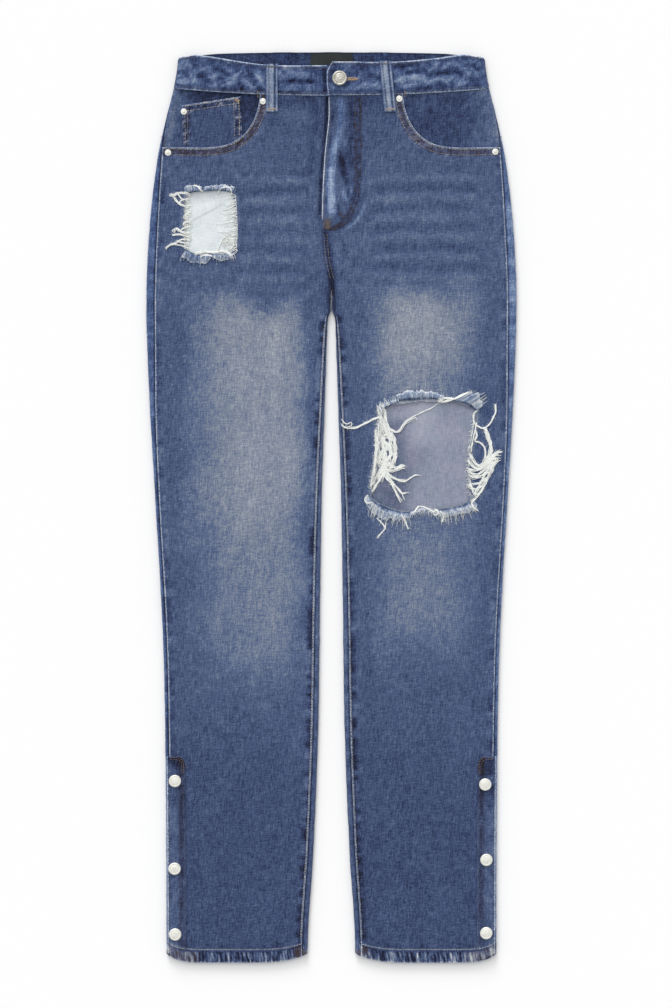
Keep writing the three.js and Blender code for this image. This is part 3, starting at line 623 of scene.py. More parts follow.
def wash(x, y):
    """The worn-in fade of the legs and hips, with painted highlights and shade on creases and crinkles."""
    wx = x + 9 * noise(x, y, 34, 46, 11) + 4 * noise(x, y, 9, 14, 12)
    wy = y + 14 * noise(x, y, 40, 40, 13) + 6 * noise(x, y, 12, 16, 14)
    fade = np.where(x < 0, right_fade(wx) * right_fade_up(wy), left_fade(wx) * left_fade_up(wy))
    tone = base_tone(y) + FADE_GAIN * fade * (1 + 0.1 * noise(x, y, 7, 60, 17))
    # Creases are paler where they rise and darker where they sink: painted highlight and shade.
    tone = tone + 12 * whiskers(x, y) + 14 * creases(x, y)
    # Painted light and shade of small crinkles over the hips.
    hips = smooth((y - 225) / 60) * smooth((485 - y) / 30)
    tone = tone + hips * (5 * noise(x, y, 6, 8, 87) + 3.5 * crumple(x, y, 88, 1.4))
    side = smooth((20 - (half_width(y) - np.abs(x))) / 14)
    tone = tone + 9 * side * smooth((y + 560) / 100)
    return tone + 2.5 * noise(x, y, 22, 30, 18) + 2.4 * noise(x, y, 4.5, 7, 19)


def roping(along, seed):
    """Dark and pale puckers along a sewn seam."""
    return 0.65 * noise(along, 0, 7.5, 1, seed) + 0.5 * noise(along, 0, 3.4, 1, seed + 1)


# ---- Relief, in millimetres ----
def relief(x, y):
    """The soft creases of the fronts."""
    r = 0.5 * noise(x, y, 55, 80, 21) + 0.26 * noise(x, y, 18, 34, 22)
    r = r + 0.12 * noise(x, y, 7, 11, 23)
    r = r + 0.42 * whiskers(x, y) + creases(x, y) + strokes(x, y, FLY_SHADES) / 60
    # Creases fan out from the crotch over the thighs.
    angle = np.degrees(np.arctan2(np.abs(x), y - 262))
    reach = np.hypot(x, y - 262)
    r = r + 0.55 * noise(angle, reach, 13, 60, 24) * near(reach, 42, 46)
    # A valley runs down to the crotch.
    valley = smooth(1 - np.abs(x + 1) / 7) * within(y, 226, 258, 14)
    return r - 1.1 * valley


def seam_puckers(distance, along, seed):
    return 0.42 * roping(along, seed) * near(distance, 2.7, 9)


# ---- Materials ----
class Nodes:
    """Shader nodes by short calls: node("ShaderNodeX", setting=value, Socket=value or output)."""

    def __init__(self, name):
        self.material = bpy.data.materials.new(name)
        self.material.use_nodes = True
        self.tree = self.material.node_tree
        self.shader = self.tree.nodes["Principled BSDF"]

    def node(self, kind, inputs=(), **settings):
        made = self.tree.nodes.new("ShaderNode" + kind)
        for key, value in settings.items():
            setattr(made, key, value)
        for key, value in dict(inputs).items():
            self.put(made.inputs[key], value)
        return made

    def put(self, socket, value):
        if isinstance(value, bpy.types.NodeSocket):
            self.tree.links.new(value, socket)
        else:
            socket.default_value = value

    def math(self, operation, a, b=0.0, c=0.0):
        return self.node("Math", {0: a, 1: b, 2: c}, operation=operation).outputs[0]

    def value(self, name):
        return self.node("Attribute", attribute_name=name).outputs["Fac"]

    def place(self, scale=(1, 1, 1), turn=0.0):
        """Object coordinates in millimetres, stretched by scale and turned round Z."""
        at = self.node("TexCoord").outputs["Object"]
        turned = self.node("Mapping", {"Vector": at, "Rotation": (0, 0, turn)})
        scaled = self.node("Mapping", {"Vector": turned.outputs[0], "Scale": [1000 * s for s in scale]})
        return scaled.outputs[0]

    def cloud(self, scale, detail=2.0, turn=0.0, rough=0.5):
        at = self.place(scale, turn)
        inputs = {"Vector": at, "Scale": 1.0, "Detail": detail, "Roughness": rough}
        return self.node("TexNoise", inputs).outputs["Fac"]

    def ramp(self, fac, stops):
        """A colour ramp with (position, (red, green, blue) from 0 to 255 as seen) stops."""
        made = self.node("ValToRGB", {"Fac": fac})
        elements = made.color_ramp.elements
        while len(elements) < len(stops):
            elements.new(0.5)
        for element, (position, colour) in zip(elements, stops):
            element.position = position
            element.color = seen(colour)
        return made.outputs["Color"]

    def mix(self, fac, a, b):
        made = self.node("Mix", data_type="RGBA")
        self.put(made.inputs[0], fac)
        self.put(made.inputs[6], a)
        self.put(made.inputs[7], b)
        return made.outputs[2]

    def bump(self, height, distance, strength=1.0, normal=None):
        inputs = {"Height": height, "Distance": distance * MM, "Strength": strength}
        made = self.node("Bump", inputs)
        if normal is not None:
            self.put(made.inputs["Normal"], normal)
        return made.outputs["Normal"]

    def finish(self, **sockets):
        for key, value in sockets.items():
            self.put(self.shader.inputs[key.replace("_", " ")], value)
        return self.material


def seen(colour):
    """A colour given from 0 to 255, as the light it gives back. The studio shows it unchanged."""
    c = np.array(colour, float) / 255
    return (*np.where(c <= 0.04045, c / 12.92, ((c + 0.055) / 1.055) ** 2.4), 1.0)


INDIGO = [
    (0.13, (14, 19, 38)), (0.22, (36, 46, 78)), (0.29, (53, 67, 102)), (0.345, (66, 82, 117)),
    (0.40, (79, 95, 130)), (0.46, (98, 112, 142)), (0.51, (116, 127, 147)), (0.57, (135, 143, 159)),
    (0.64, (155, 161, 173)), (0.80, (201, 205, 209)), (0.96, (243, 244, 243)),
]
# Where the cloth was only chafed, on folds and straps, it pales without turning grey; the fly's painted
# highlights take this blue too.
FRESH_INDIGO = [
    (0.13, (10, 15, 38)), (0.22, (32, 43, 80)), (0.29, (48, 64, 104)), (0.345, (62, 81, 122)),
    (0.40, (77, 97, 138)), (0.46, (97, 118, 157)), (0.51, (118, 138, 172)), (0.57, (141, 158, 186)),
    (0.64, (164, 178, 201)), (0.80, (208, 216, 226)), (0.96, (243, 245, 246)),
]
TWILL_PITCH = 0.62


def twill(n, turn):
    """Fine diagonal lines of the weave."""
    at = n.place((1, 1, 1), turn)
    wobble = n.cloud((0.5, 0.5, 0.5), 1.0)
    wave = n.node(
        "TexWave",
        {"Vector": at, "Scale": 0.314 / TWILL_PITCH, "Distortion": 0.0},
        wave_type="BANDS",
        bands_direction="X",
    )
    return n.math("MULTIPLY", wave.outputs["Fac"], n.math("ADD", wobble, 0.4))


def denim_material(name):
    n = Nodes(name)
    long_slub = n.cloud((0.9, 0.11, 0.9), 2.5, 0.09)
    cross_slub = n.cloud((0.14, 0.85, 0.85), 2.5, -0.07)
    grain = n.cloud((0.62, 0.62, 0.62), 3.0, rough=0.7)
    mottle = n.cloud((0.34, 0.13, 0.2), 2.5)
    lines = twill(n, math.radians(62))
    tone = n.value("tone")

    def add(total, layer, gain):
        return n.math("MULTIPLY_ADD", n.math("SUBTRACT", layer, 0.5), gain, total)

    shade = tone
    for layer, gain in ((long_slub, 0.3), (cross_slub, 0.24), (grain, 0.34), (mottle, 0.1), (lines, 0.06)):
        shade = add(shade, layer, gain)
    # Puckers of a turned-up hem, finer than the mesh: pale worn ridges with painted shade in the troughs
    # between.
    wave = n.math("SUBTRACT", n.cloud((0.44, 0.07, 0.07), 1.0, -0.16), 0.5)
    pucker = n.math("MULTIPLY", wave, n.value("pucker"))
    shade = n.math("MULTIPLY_ADD", pucker, 1.3, shade)
    # A worn edge is paler, in uneven lengths.
    worn = n.math("SUBTRACT", n.math("MULTIPLY", grain, 3.2), n.value("edge"))
    worn = n.math("MULTIPLY", n.math("MINIMUM", n.math("MAXIMUM", worn, 0.0), 1.0), 0.30)
    shade = n.math("ADD", shade, worn)
    # The share of a fresher blue: at worn edges, and where tan is below zero, as on straps and on the fly's
    # painted highlights.
    wear_and_shading = n.math("SUBTRACT", n.math("MULTIPLY", worn, 2.6), n.value("tan"))
    wear_and_shading = n.math("MINIMUM", n.math("MAXIMUM", wear_and_shading, 0.0), 1.0)
    colour = n.mix(wear_and_shading, n.ramp(shade, INDIGO), n.ramp(shade, FRESH_INDIGO))
    thread = n.math("MULTIPLY", n.math("MAXIMUM", n.value("tan"), 0.0), n.math("MULTIPLY", grain, 1.5))
    colour = n.mix(n.math("MINIMUM", thread, 0.85), colour, seen((150, 128, 104)))
    height = n.math("ADD", n.math("MULTIPLY", lines, 0.5), n.math("ADD", long_slub, cross_slub))
    height = n.math("MULTIPLY_ADD", pucker, 5.0, height)
    return n.finish(
        Base_Color=colour,
        Roughness=0.88,
        Normal=n.bump(height, 0.14),
        Sheen_Weight=0.12,
        Sheen_Roughness=0.5,
        Specular_IOR_Level=0.2,
    )


def wrong_side_material():
    """The undyed side of the cloth: pale weft with specks of indigo."""
    n = Nodes("denim_wrong_side")
    long_slub = n.cloud((0.8, 0.1, 0.8), 3.0)
    cross_slub = n.cloud((0.12, 0.8, 0.8), 2.5)
    grain = n.cloud((0.9, 0.9, 0.9), 3.0, rough=0.7)
    mottle = n.cloud((0.2, 0.13, 0.1), 3.0)
    tint = n.cloud((0.03, 0.028, 0.03), 2.0)
    lines = twill(n, math.radians(118))
    # The painted tan darkens or lightens the wrong side: through the knee rip it carries painted shade.
    shade = n.math("MULTIPLY_ADD", lines, 0.08, n.math("MULTIPLY_ADD", n.value("tan"), 0.2, -0.055))
    for layer, gain in ((long_slub, 0.26), (cross_slub, 0.2), (grain, 0.36), (mottle, 0.16)):
        shade = n.math("MULTIPLY_ADD", layer, gain, shade)
    lilac = n.ramp(shade, [
        (0.22, (90, 97, 124)), (0.38, (130, 134, 156)), (0.5, (156, 158, 176)), (0.66, (176, 177, 191)),
        (0.85, (202, 203, 212)),
    ])
    blue = n.ramp(shade, [
        (0.22, (80, 94, 122)), (0.38, (118, 130, 152)), (0.5, (142, 152, 170)), (0.66, (164, 172, 186)),
        (0.85, (196, 201, 209)),
    ])
    share = n.math("MULTIPLY_ADD", n.math("SUBTRACT", tint, 0.5), 3.0, 0.5)
    colour = n.mix(n.math("MINIMUM", n.math("MAXIMUM", share, 0.0), 1.0), lilac, blue)
    return n.finish(
        Base_Color=colour,
        Roughness=0.92,
        Normal=n.bump(n.math("ADD", lines, long_slub), 0.12),
        Sheen_Weight=0.1,
        Specular_IOR_Level=0.15,
    )


def raw_edge_material():
    """The cut through a layer of denim, where the pale weft shows."""
    n = Nodes("denim_raw_edge")
    grain = n.cloud((1.6, 1.6, 1.6), 2.0)
    colour = n.ramp(grain, [(0.3, (92, 112, 152)), (0.5, (140, 156, 186)), (0.7, (206, 212, 222))])
    return n.finish(Base_Color=colour, Roughness=0.95, Normal=n.bump(grain, 0.2), Specular_IOR_Level=0.1)


def cotton_material(name, dark, pale):
    n = Nodes(name)
    weft = n.cloud((1.4, 0.12, 1.0), 2.0)
    warp = n.cloud((0.12, 1.4, 1.0), 2.0)
    # Broad soft folds, painted as shade in the colour.
    folds = n.cloud((0.05, 0.04, 0.05), 2.0, 0.6)
    shade = n.math("ADD", n.math("MULTIPLY", weft, 0.35), n.math("MULTIPLY", warp, 0.35))
    shade = n.math("MULTIPLY_ADD", folds, 0.3, shade)
    colour = n.ramp(shade, [(0.3, dark), (0.62, pale)])
    return n.finish(
        Base_Color=colour,
        Roughness=0.9,
        Normal=n.bump(n.math("ADD", weft, warp), 0.1),
        Sheen_Weight=0.15,
        Specular_IOR_Level=0.2,
    )


def thread_material(name, dark, pale, between=()):
    """Twisted sewing or weft thread, which is paler where the painted tone says."""
    n = Nodes(name)
    grain = n.cloud((2.2, 2.2, 2.2), 2.0)
    shade = n.math("MULTIPLY_ADD", n.math("SUBTRACT", grain, 0.5), 0.6, n.value("tone"))
    colour = n.ramp(shade, [(0.1, dark), *between, (0.9, pale)])
    return n.finish(
        Base_Color=colour,
        Roughness=0.8,
        Normal=n.bump(grain, 0.055),
        Sheen_Weight=0.1,
        Specular_IOR_Level=0.25,
    )


def frayed_material():
    """Indigo warp that has come loose and paled."""
    n = Nodes("frayed_denim")
    streaks = n.cloud((1.6, 0.35, 1.0), 3.0)
    grain = n.cloud((1.3, 1.3, 1.3), 2.0)
    shade = n.math("MULTIPLY_ADD", n.math("SUBTRACT", streaks, 0.5), 0.7, n.value("tone"))
    shade = n.math("MULTIPLY_ADD", n.math("SUBTRACT", grain, 0.5), 0.3, shade)
    colour = n.ramp(shade, [
        (0.2, (40, 52, 84)), (0.3, (68, 84, 118)), (0.42, (116, 131, 157)), (0.56, (158, 170, 189)),
        (0.8, (216, 220, 225)),
    ])
    height = n.math("ADD", streaks, grain)
    return n.finish(Base_Color=colour, Roughness=0.92, Normal=n.bump(height, 0.2), Specular_IOR_Level=0.15)


def metal_material(name, dark, pale, metallic):
    n = Nodes(name)
    brushed = n.cloud((1.4, 6.0, 1.0), 3.0)
    dull = n.cloud((0.35, 0.35, 0.35), 3.0)
    colour = n.ramp(dull, [(0.3, dark), (0.6, pale)])
    rough = n.math("MULTIPLY_ADD", brushed, 0.18, 0.34)
    return n.finish(
        Base_Color=colour,
        Metallic=metallic,
        Roughness=rough,
        Normal=n.bump(n.math("ADD", brushed, dull), 0.06),
    )


DENIM_OUT = denim_material("denim")
DENIM_WRONG = wrong_side_material()
DENIM_RAW = raw_edge_material()
CLOTH = [DENIM_OUT, DENIM_WRONG, DENIM_RAW]
WHITE_COTTON = cotton_material("white_cotton", (194, 204, 211), (232, 237, 238))
BLACK_LABEL = cotton_material("black_label", (34, 37, 40), (54, 57, 58))
TAN_THREAD = thread_material("tan_thread", (112, 92, 78), (190, 164, 136))
CREAM_THREAD = thread_material("cream_thread", (128, 120, 112), (226, 220, 206))
BROWN_THREAD = thread_material("brown_thread", (50, 52, 66), (122, 112, 106))
FADED_BLUE = [(0.35, (128, 151, 190)), (0.6, (198, 208, 220)), (0.72, (232, 234, 230))]
WHITE_THREAD = thread_material("white_thread", (74, 96, 142), (247, 249, 245), FADED_BLUE)
FRAYED = frayed_material()
CAP_METAL = metal_material("silver_caps", (222, 222, 212), (240, 240, 233), 0.35)
BUTTON_METAL = metal_material("silver_button", (164, 162, 152), (208, 206, 196), 0.75)


# ---- Panels ----
LEG_STEP = 2.4
HEM_STEPS = np.array([0, 0.5, 1, 1.8, 3, 4.6, 6.4, 8.4, 10.4, 12, 13, 14, 14.9, 15.1, 16, 17.4])


def panel_rows(top, step):
    low = HEM_Y + HEM_STEPS
    high = steps(HEM_Y + 19, top - 1, step)
    return np.concatenate([low, high, [top - 0.5, top]])[:, None]


def draw_in(points, nominal):
    """Narrows a row with the hips where it was bent upwards from its nominal height."""
    out = np.abs(points[..., 0])
    narrow = half_width(points[..., 1]) / half_width(nominal)
    points[..., 0] *= mix(1, narrow, smooth((out - 90) / 80))


def rounded(points, out, distance, amount=0.55, reach=1.1):
    """Lets the outer face roll down towards its own edges."""
    drop = amount * np.clip(1 - distance / reach, 0, 1) ** 2
    return points - out * drop[..., None]


def front_panel(side):
    y = panel_rows(WAIST_Y - GAP, LEG_STEP)
    gap, wide = leg_gap(y), half_width(y)

    def height(x, at):
        return front_height(x, at) + (fly_rise(x, at) if side > 0 else -lap_sink(-x, at))

    outer_arc = arc_of(side_inset(y)) + GAP / 2 + EDGE_STEPS
    inner_arc = arc_of(inseam_inset(y)) + GAP / 2 + EDGE_STEPS
    outer, outer_out = on_fold(wide, 1, y, outer_arc, height)
    on_leg, leg_out = on_fold(gap, -1, y, inner_arc, height)
    lap = 0 if side > 0 else mix(SEAM_LAP, FLY_LAP, smooth((y - FLY_Y) / 12)) * smooth((y - 270) / 12)
    edge = fly_edge(y) if side > 0 else -fly_edge(y) - lap + GAP * smooth((280 - y) / 20)
    flat_x = edge + EDGE_STEPS
    on_fly, fly_out = flat_points(flat_x, y, height(flat_x, y))
    opened = smooth((y - CROTCH_Y - 4) / (CROTCH_POINT_Y - CROTCH_Y - 4))[..., None]
    inner, inner_out = mix(on_leg, on_fly, opened), mix(leg_out, fly_out, opened)
    count = 64
    share = np.arange(1, count) / count
    x = mix(inner[:, -1:, 0], outer[:, -1:, 0], share)
    top, top_out = flat_points(x, y, height(x, y))
    points = np.concatenate([inner, top, outer[:, ::-1]], axis=1)
    out = np.concatenate([inner_out, top_out, outer_out[:, ::-1]], axis=1)
    far = np.full(top.shape[:2], NO_EDGE)
    rows = [0 * inner[..., 0] + EDGE_STEPS, far, 0 * outer[..., 0] + EDGE_STEPS[::-1]]
    border = np.concatenate(rows, axis=1)
    border = np.minimum(border, y - HEM_Y)
    real_x, real_y = side * points[..., 0], points[..., 1]
    d_side, d_in = side_seam(real_y) - np.abs(real_x), np.abs(real_x) - inseam(real_y)
    d_in = np.where(real_y < CROTCH_Y, d_in, FAR)
    r = relief(real_x, real_y)
    r = r + seam_puckers(d_side, real_y, 31 + side) + 0.8 * seam_puckers(d_in, real_y, 35 + side)
    r = r + hem_puckers(real_x, y - HEM_Y, 41 + side)
    r = r * smooth((border + 1) / 6) + rip_lift(real_x, real_y)
    points = rounded(points, out, border) + out * r[..., None]
    points[..., 1] += hem_shift(points[..., 0], y) + front_waist_shift(points[..., 0], y)
    draw_in(points, y)
    thick = np.where(y < HEM_Y + HEM_FOLD, HEM_THICK, DENIM) + 0 * points[..., 0]
    return (*for_side(side, points, out), thick if side > 0 else thick[:, ::-1])


def hem_puckers(x, up, seed):
    """The slanting puckers of a turned-up hem, up millimetres from its edge."""
    rope = noise(x + 0.55 * up, 0, 4.2, 1, seed) + 0.5 * noise(x + 0.5 * up, 0, 9, 1, seed + 1)
    groove = near(up, HEM_FOLD - 1, 1.8)
    return 0.34 * rope * within(up, 1, HEM_FOLD - 2, 2.5) - 0.3 * groove


KNEE, HIP = (np.vstack([ring, ring[:1]]) for ring in (spline(r, 3, closed=True) for r in (KNEE_RIP, HIP_RIP)))


def rip_lift(x, y):
    """The cloth stands up a little in a lip round each rip."""
    lift = 0
    for ring, amount in ((KNEE, 1.0), (HIP, 0.7)):
        d = distance_near(x, y, ring, 16)
        wave = 0.55 + 0.45 * noise(x, y, 9, 9, 51)
        lift = lift + amount * wave * np.exp(-((d / 3.2) ** 2))
    return lift


def back_row_shape(y, seam_y, columns):
    """Points of one or more rear rows, from the side seam round both folds to the inseam."""
    gap, wide = leg_gap(y), half_width(y)
    count = 12
    ease = np.linspace(0, 1, count) ** 1.3
    outer_arc = mix(arc_of(side_inset(seam_y)) - GAP, -QUARTER, ease)
    inner_arc = mix(arc_of(inseam_inset(y)) - GAP / 2, -QUARTER, ease)[:, ::-1]
    outer, outer_out = on_fold(wide, 1, y, outer_arc, front_height)
    on_leg, leg_out = on_fold(gap, -1, y, inner_arc, front_height)
    flat_x = GAP / 2 + 6 * (1 - np.linspace(0, 1, count)) + 0 * y
    flat, flat_out = flat_points(flat_x, y, back_rise(flat_x, y), -1)
    opened = smooth((y - CROTCH_Y - 4) / (CROTCH_POINT_Y - CROTCH_Y - 4))[..., None]
    inner, inner_out = mix(on_leg, flat, opened), mix(leg_out, flat_out, opened)
    x = mix(outer[:, -1:, 0], inner[:, :1, 0], np.arange(1, columns) / columns)
    bottom, bottom_out = flat_points(x, y, back_rise(x, y), -1)
    points = np.concatenate([outer, bottom, inner], axis=1)
    out = np.concatenate([outer_out, bottom_out, inner_out], axis=1)
    return points, out / np.maximum(np.linalg.norm(out, axis=-1, keepdims=True), 1e-6)


def slant(points, nominal, height_at):
    """Moves points to the height that their row has at their x, and draws the hip in to match."""
    own = points[..., 0].copy()
    shift = points[..., 1] - nominal
    for _ in range(4):
        points[..., 1] = height_at(points[..., 0]) + shift
        drawn = own * half_width(points[..., 1]) / half_width(nominal)
        points[..., 0] = np.where(own > 90, mix(own, drawn, smooth((own - 90) / 80)), own)


def press_down(points, out):
    """Lays the flat part of the rear on the surface, or on the pocket or loop under it."""
    flat = out[..., 2] < -0.999
    points[..., 2] = np.where(flat, back_rise(points[..., 0], points[..., 1]), points[..., 2])


def rear_puckers(points, out, side, y):
    """Puckers of the strips that wrap round to the front, beside the seams."""
    upper = smooth(out[..., 2] + 1)
    rope = 0.3 * roping(points[..., 1] + 5, 61 + side)
    rope = rope + 0.16 * noise(points[..., 0], points[..., 1], 5, 9, 63)
    return points + out * (rope * upper * smooth((y - HEM_Y) / 4))[..., None]


def back_panel(side):
    y = panel_rows(YOKE_Y - GAP, 3.2)
    lift = smooth((y - 335) / (YOKE_Y - 335))
    points, out = back_row_shape(y, mix(y, y + YOKE_RISE, lift), 44)
    points[..., 1] += hem_shift(points[..., 0], y)
    slant(points, y, lambda x: y + (yoke_edge(x) - YOKE_Y) * lift)
    press_down(points, out)
    points = rear_puckers(points, out, side, y)
    thick = np.where(y < HEM_Y + HEM_FOLD, HEM_THICK, DENIM) + 0 * points[..., 0]
    return (*for_side(side, points, out), thick if side > 0 else thick[:, ::-1])


def yoke(side):
    share = np.linspace(0, 1, 26)[:, None]
    nominal = mix(YOKE_Y + YOKE_RISE, BACK_WAIST_Y, share)
    points, out = back_row_shape(nominal, nominal, 56)
    slant(points, nominal, lambda x: mix(yoke_edge(x) + GAP, back_waist_edge(x) - GAP, share))
    press_down(points, out)
    points = rear_puckers(points, out, side, nominal)
    return for_side(side, points, out)


# ---- Front pockets, zip tape ----
FACING_TOP = {1: FRONT_UNDER, -1: FRONT_UNDER - DENIM - GAP}
FACING_LOW_Y = 398


def pocket_facing(side):
    y = steps(FACING_LOW_Y, WAIST_Y - GAP, 2)[:, None]
    level, wide = FACING_TOP[side], half_width(y)

    def height(x, at):
        return mix(level, FOLD, smooth((x - half_width(at) + 12) / 8) * smooth((at - 414) / 10))

    share = np.linspace(0, 1, 9)
    arcs = mix(QUARTER + 1, arc_of(side_inset(y)) + GAP / 2, share)
    cap, cap_out = on_fold(wide, 1, y, arcs, height)
    x = wide - RADIUS - 16 + 6 * share
    tucked, tucked_out = flat_points(x, y, level + 0 * x)
    up = smooth((y - 409) / 5)[..., None]
    outer, outer_out = mix(tucked, cap, up), mix(tucked_out, cap_out, up)
    x = mix(72, outer[:, :1, 0] - 1, np.linspace(0, 0.98, 44))
    top, top_out = flat_points(x, y, height(x, y))
    points = np.concatenate([top, outer], axis=1)
    out = np.concatenate([top_out, outer_out], axis=1)
    points[..., 2] += 0.18 * noise(points[..., 0], points[..., 1], 12, 16, 71) * (points[..., 0] < wide - 10)
    points[..., 1] += front_waist_shift(points[..., 0], y)
    draw_in(points, y)
    return for_side(side, points, out)


def bag_fold(x, y):
    """The pocket bag is creased where it shows: one side of a slanting fold stands higher."""
    above = (0.477 * (x + 160) - 0.879 * (y - 327)) * -1
    return 0.8 * smooth((above + 0.7) / 1.4) * within(x, -164, -128, 10) * smooth((14 - above) / 10)


def patch(corners, top, step, soft=0.0, seed=0, extra=None):
    """A flat-lying piece between four corners, at height top."""
    a, b, c, d = np.array(corners, float)
    s = steps(0, 1, step / np.linalg.norm(b - a))[None, :, None]
    t = steps(0, 1, step / np.linalg.norm(d - a))[:, None, None]
    flat = mix(mix(a, b, s), mix(d, c, s), t)
    x, y = flat[..., 0], flat[..., 1]
    z = top + soft * noise(x, y, 14, 20, seed)
    return flat_points(x, y, z + extra(x, y) if extra else z)


# ---- Waistband ----
BAND_END = {"right": 36, "left": -5.2}
right_top_edge = curve([(-174, 514), (-157, 516.5), (-75, 505.5), (0, 504.5), (36, 504.5)])
left_top_edge = curve([(-6, 508.5), (69, 508.8), (118, 512.5), (155, 516.8), (174, 514)])
back_top_edge = curve([(-174, 515), (-130, 518.5), (0, 520), (130, 518.5), (174, 515)])
SIDE_TOP_Y = 511


def right_end_height(x):
    return BAND_FOLD + 1.2 * smooth((x + 70) / 40)


def left_end_height(x):
    return BAND_FOLD + 4.1 * smooth((62 - x) / 42)


def waist_seam(x):
    return WAIST_Y + WAIST_RISE * (x / 178) ** 2


def end_lean(x, y):
    """How far the lapped end is drawn back towards its slanting top corner."""
    close = 1 - smooth((x - BAND_END["left"]) / 18)
    return close * (6.8 * np.clip((y - 497) / 12, 0, 1) ** 1.2 + smooth((484 - y) / 10))


def waistband():
    """One strip from the right front end, out round the right fold, across the back and round the
    left fold to the left front end, which laps over the right one."""
    ends = np.array([0, 0.5, 1.2])
    share = np.concatenate([[0, 0.014, 0.035, 0.07], np.linspace(0.11, 0.89, 15), [0.93, 0.965, 0.986, 1]])
    share = share[:, None]

    def flat(x, low, high, z, up):
        y = mix(low + GAP, high, share)
        drawn = x * mix(1, half_width(y) / half_width(480), smooth((np.abs(x) - 75) / 70))
        return flat_points(drawn, y, z + 0 * y, up)

    def corner(side, angle):
        y = mix(478.5 + GAP, mix(SIDE_TOP_Y, 514, np.abs(np.sin(angle))), share)
        x = side * (half_width(y) - BAND_RADIUS * (1 - np.cos(angle)))
        points = np.stack([x, y, BAND_RADIUS * (1 + np.sin(angle)) + 0 * y], -1)
        out = np.stack([side * np.cos(angle) + 0 * x, 0 * x, np.sin(angle) + 0 * x], -1)
        return points, out

    right_x = np.concatenate([BAND_END["right"] - ends, steps(33, -175, 1.9)])
    left_x = np.concatenate([steps(175, -2.5, 1.9), BAND_END["left"] + ends[::-1]])
    back_x = steps(-175, 175, 3)
    angles = np.radians(np.linspace(70, -70, 9))
    parts = [
        flat(right_x, waist_seam(right_x), right_top_edge(right_x), right_end_height(right_x), 1),
        corner(-1, angles),
        flat(back_x, back_waist_edge(back_x), back_top_edge(back_x), back_rise(back_x, 500.0), -1),
        corner(1, angles[::-1]),
        flat(left_x, waist_seam(left_x), left_top_edge(left_x), left_end_height(left_x), 1),
    ]
    points = np.concatenate([p for p, _ in parts], axis=1)[:, ::-1]
    out = np.concatenate([o for _, o in parts], axis=1)[:, ::-1]
    x, y, _ = np.moveaxis(points, -1, 0)
    up = out[..., 2] > 0
    inside = np.minimum(share, 1 - share) * BAND_WIDTH
    from_end = np.minimum(np.abs(x - BAND_END["right"]), np.abs(x - BAND_END["left"]))
    inside = np.minimum(inside, np.where(up, from_end, NO_EDGE))
    rope = noise(x + 0.4 * y, y, 5.5, 26, 81) + 0.5 * noise(x, y, 11, 14, 82)
    bend = 0.4 * rope + 0.3 * noise(x, y, 26, 30, 83) + 0.15 * noise(x, y, 3.5, 4.5, 84)
    bend = (bend + 0.65 * crumple(x, y, 80) + strokes(x, y, BAND_SHADES) / 45) * smooth(inside / 3)
    seam_dip = -0.35 * (near(inside, 2.6, 1.6))
    points = rounded(points, out, inside, 0.8, 1.6) + out * ((bend + seam_dip) * up)[..., None]
    lapped = points[:, : len(left_x)]
    lapped[..., 0] += end_lean(lapped[..., 0], lapped[..., 1])
    return points, out


# ---- Belt loops and vents ----
def strap(xs, ys, zs, width, thick_edge=0.45):
    """A strap along a line of places, rounded at its sides."""
    offsets = width / 2 * np.array([-1, -0.94, -0.8, -0.5, -0.2, 0.2, 0.5, 0.8, 0.94, 1])
    x = np.asarray(xs)[:, None] + offsets
    y = np.asarray(ys)[:, None] + 0 * offsets
    z = np.asarray(zs)[:, None] - thick_edge * np.abs(offsets / width * 2) ** 6
    # Two lengthwise channels where it is stitched, and a soft middle.
    z = z - 0.22 * near(np.abs(offsets), width * 0.27, 1.3) + 0.12 * noise(x, y, 4, 6, 91)
    return flat_points(x, y, z)


def front_loop(top_x, bottom_x, band_height, top_y):
    """Tacked to the front below the waist seam, over the band, and round its top edge."""
    bottom_y, low, high = 452, FOLD + GAP + LOOP_THICK, band_height + GAP + LOOP_THICK
    rise = curve([(452, 0), (458, 0.05), (464, 0.8), (469, 1.08), (490, 1.2), (502, 1.05), (top_y, 1)])
    ys = steps(bottom_y, top_y, 1.6)
    t = rise(ys)
    zs = mix(low, high, np.minimum(t, 1)) + np.maximum(t - 1, 0) * 4
    return strap(mix(bottom_x, top_x, (ys - bottom_y) / (top_y - bottom_y)), ys, zs, LOOP_WIDTH + 1.8)


PLACKET_INSET, PLACKET_WIDTH, UNDERLAP_INSET, UNDERLAP_WIDTH = 1.6, 21, 6.2, 19
PLACKET_EDGE = PLACKET_INSET + PLACKET_WIDTH
PLACKET_LIFT, CORNER = 2, 10


def placket_top(x, y):
    return front_height(x, y) + GAP + DENIM


def vent_strip(side, near_side, far_side, height, low, high, seed):
    span = far_side - near_side
    insets = np.concatenate([[0, 0.5, 1.2, 2.4], steps(4, span - 2, 2), [span - 0.6]])
    insets = np.append(insets, far_side - near_side) + near_side
    y = np.concatenate([[low, low + 0.5, low + 1.2], steps(low + 3, high - 1, 2.4), [high - 0.5, high]])
    y = y[:, None]
    x = (half_width(y) - insets)[:, ::-1]
    points, out = flat_points(x, y, height(x, y))
    across = np.minimum(insets - near_side, far_side - insets)[::-1]
    border = np.minimum(across, np.minimum(y - low, high - y))
    rope = 0.35 * roping(y, seed) * near(border, 2.6, 2.6) + 0.2 * noise(x, y, 9, 15, seed + 2)
    points = rounded(points, out, border, 0.6, 1.3)
    points[..., 2] += rope * smooth(border / 2)
    points[..., 1] += hem_shift(x, y)
    return for_side(side, points, out)


# ---- Under the rear: patch pockets and loops ----
POCKET_INNER, POCKET_OUTER, POCKET_TAPER, POCKET_TIP, POCKET_SIDE = 32, 170, 7, 236, 256


def pocket_top(x):
    return 364 + 0.07 * x


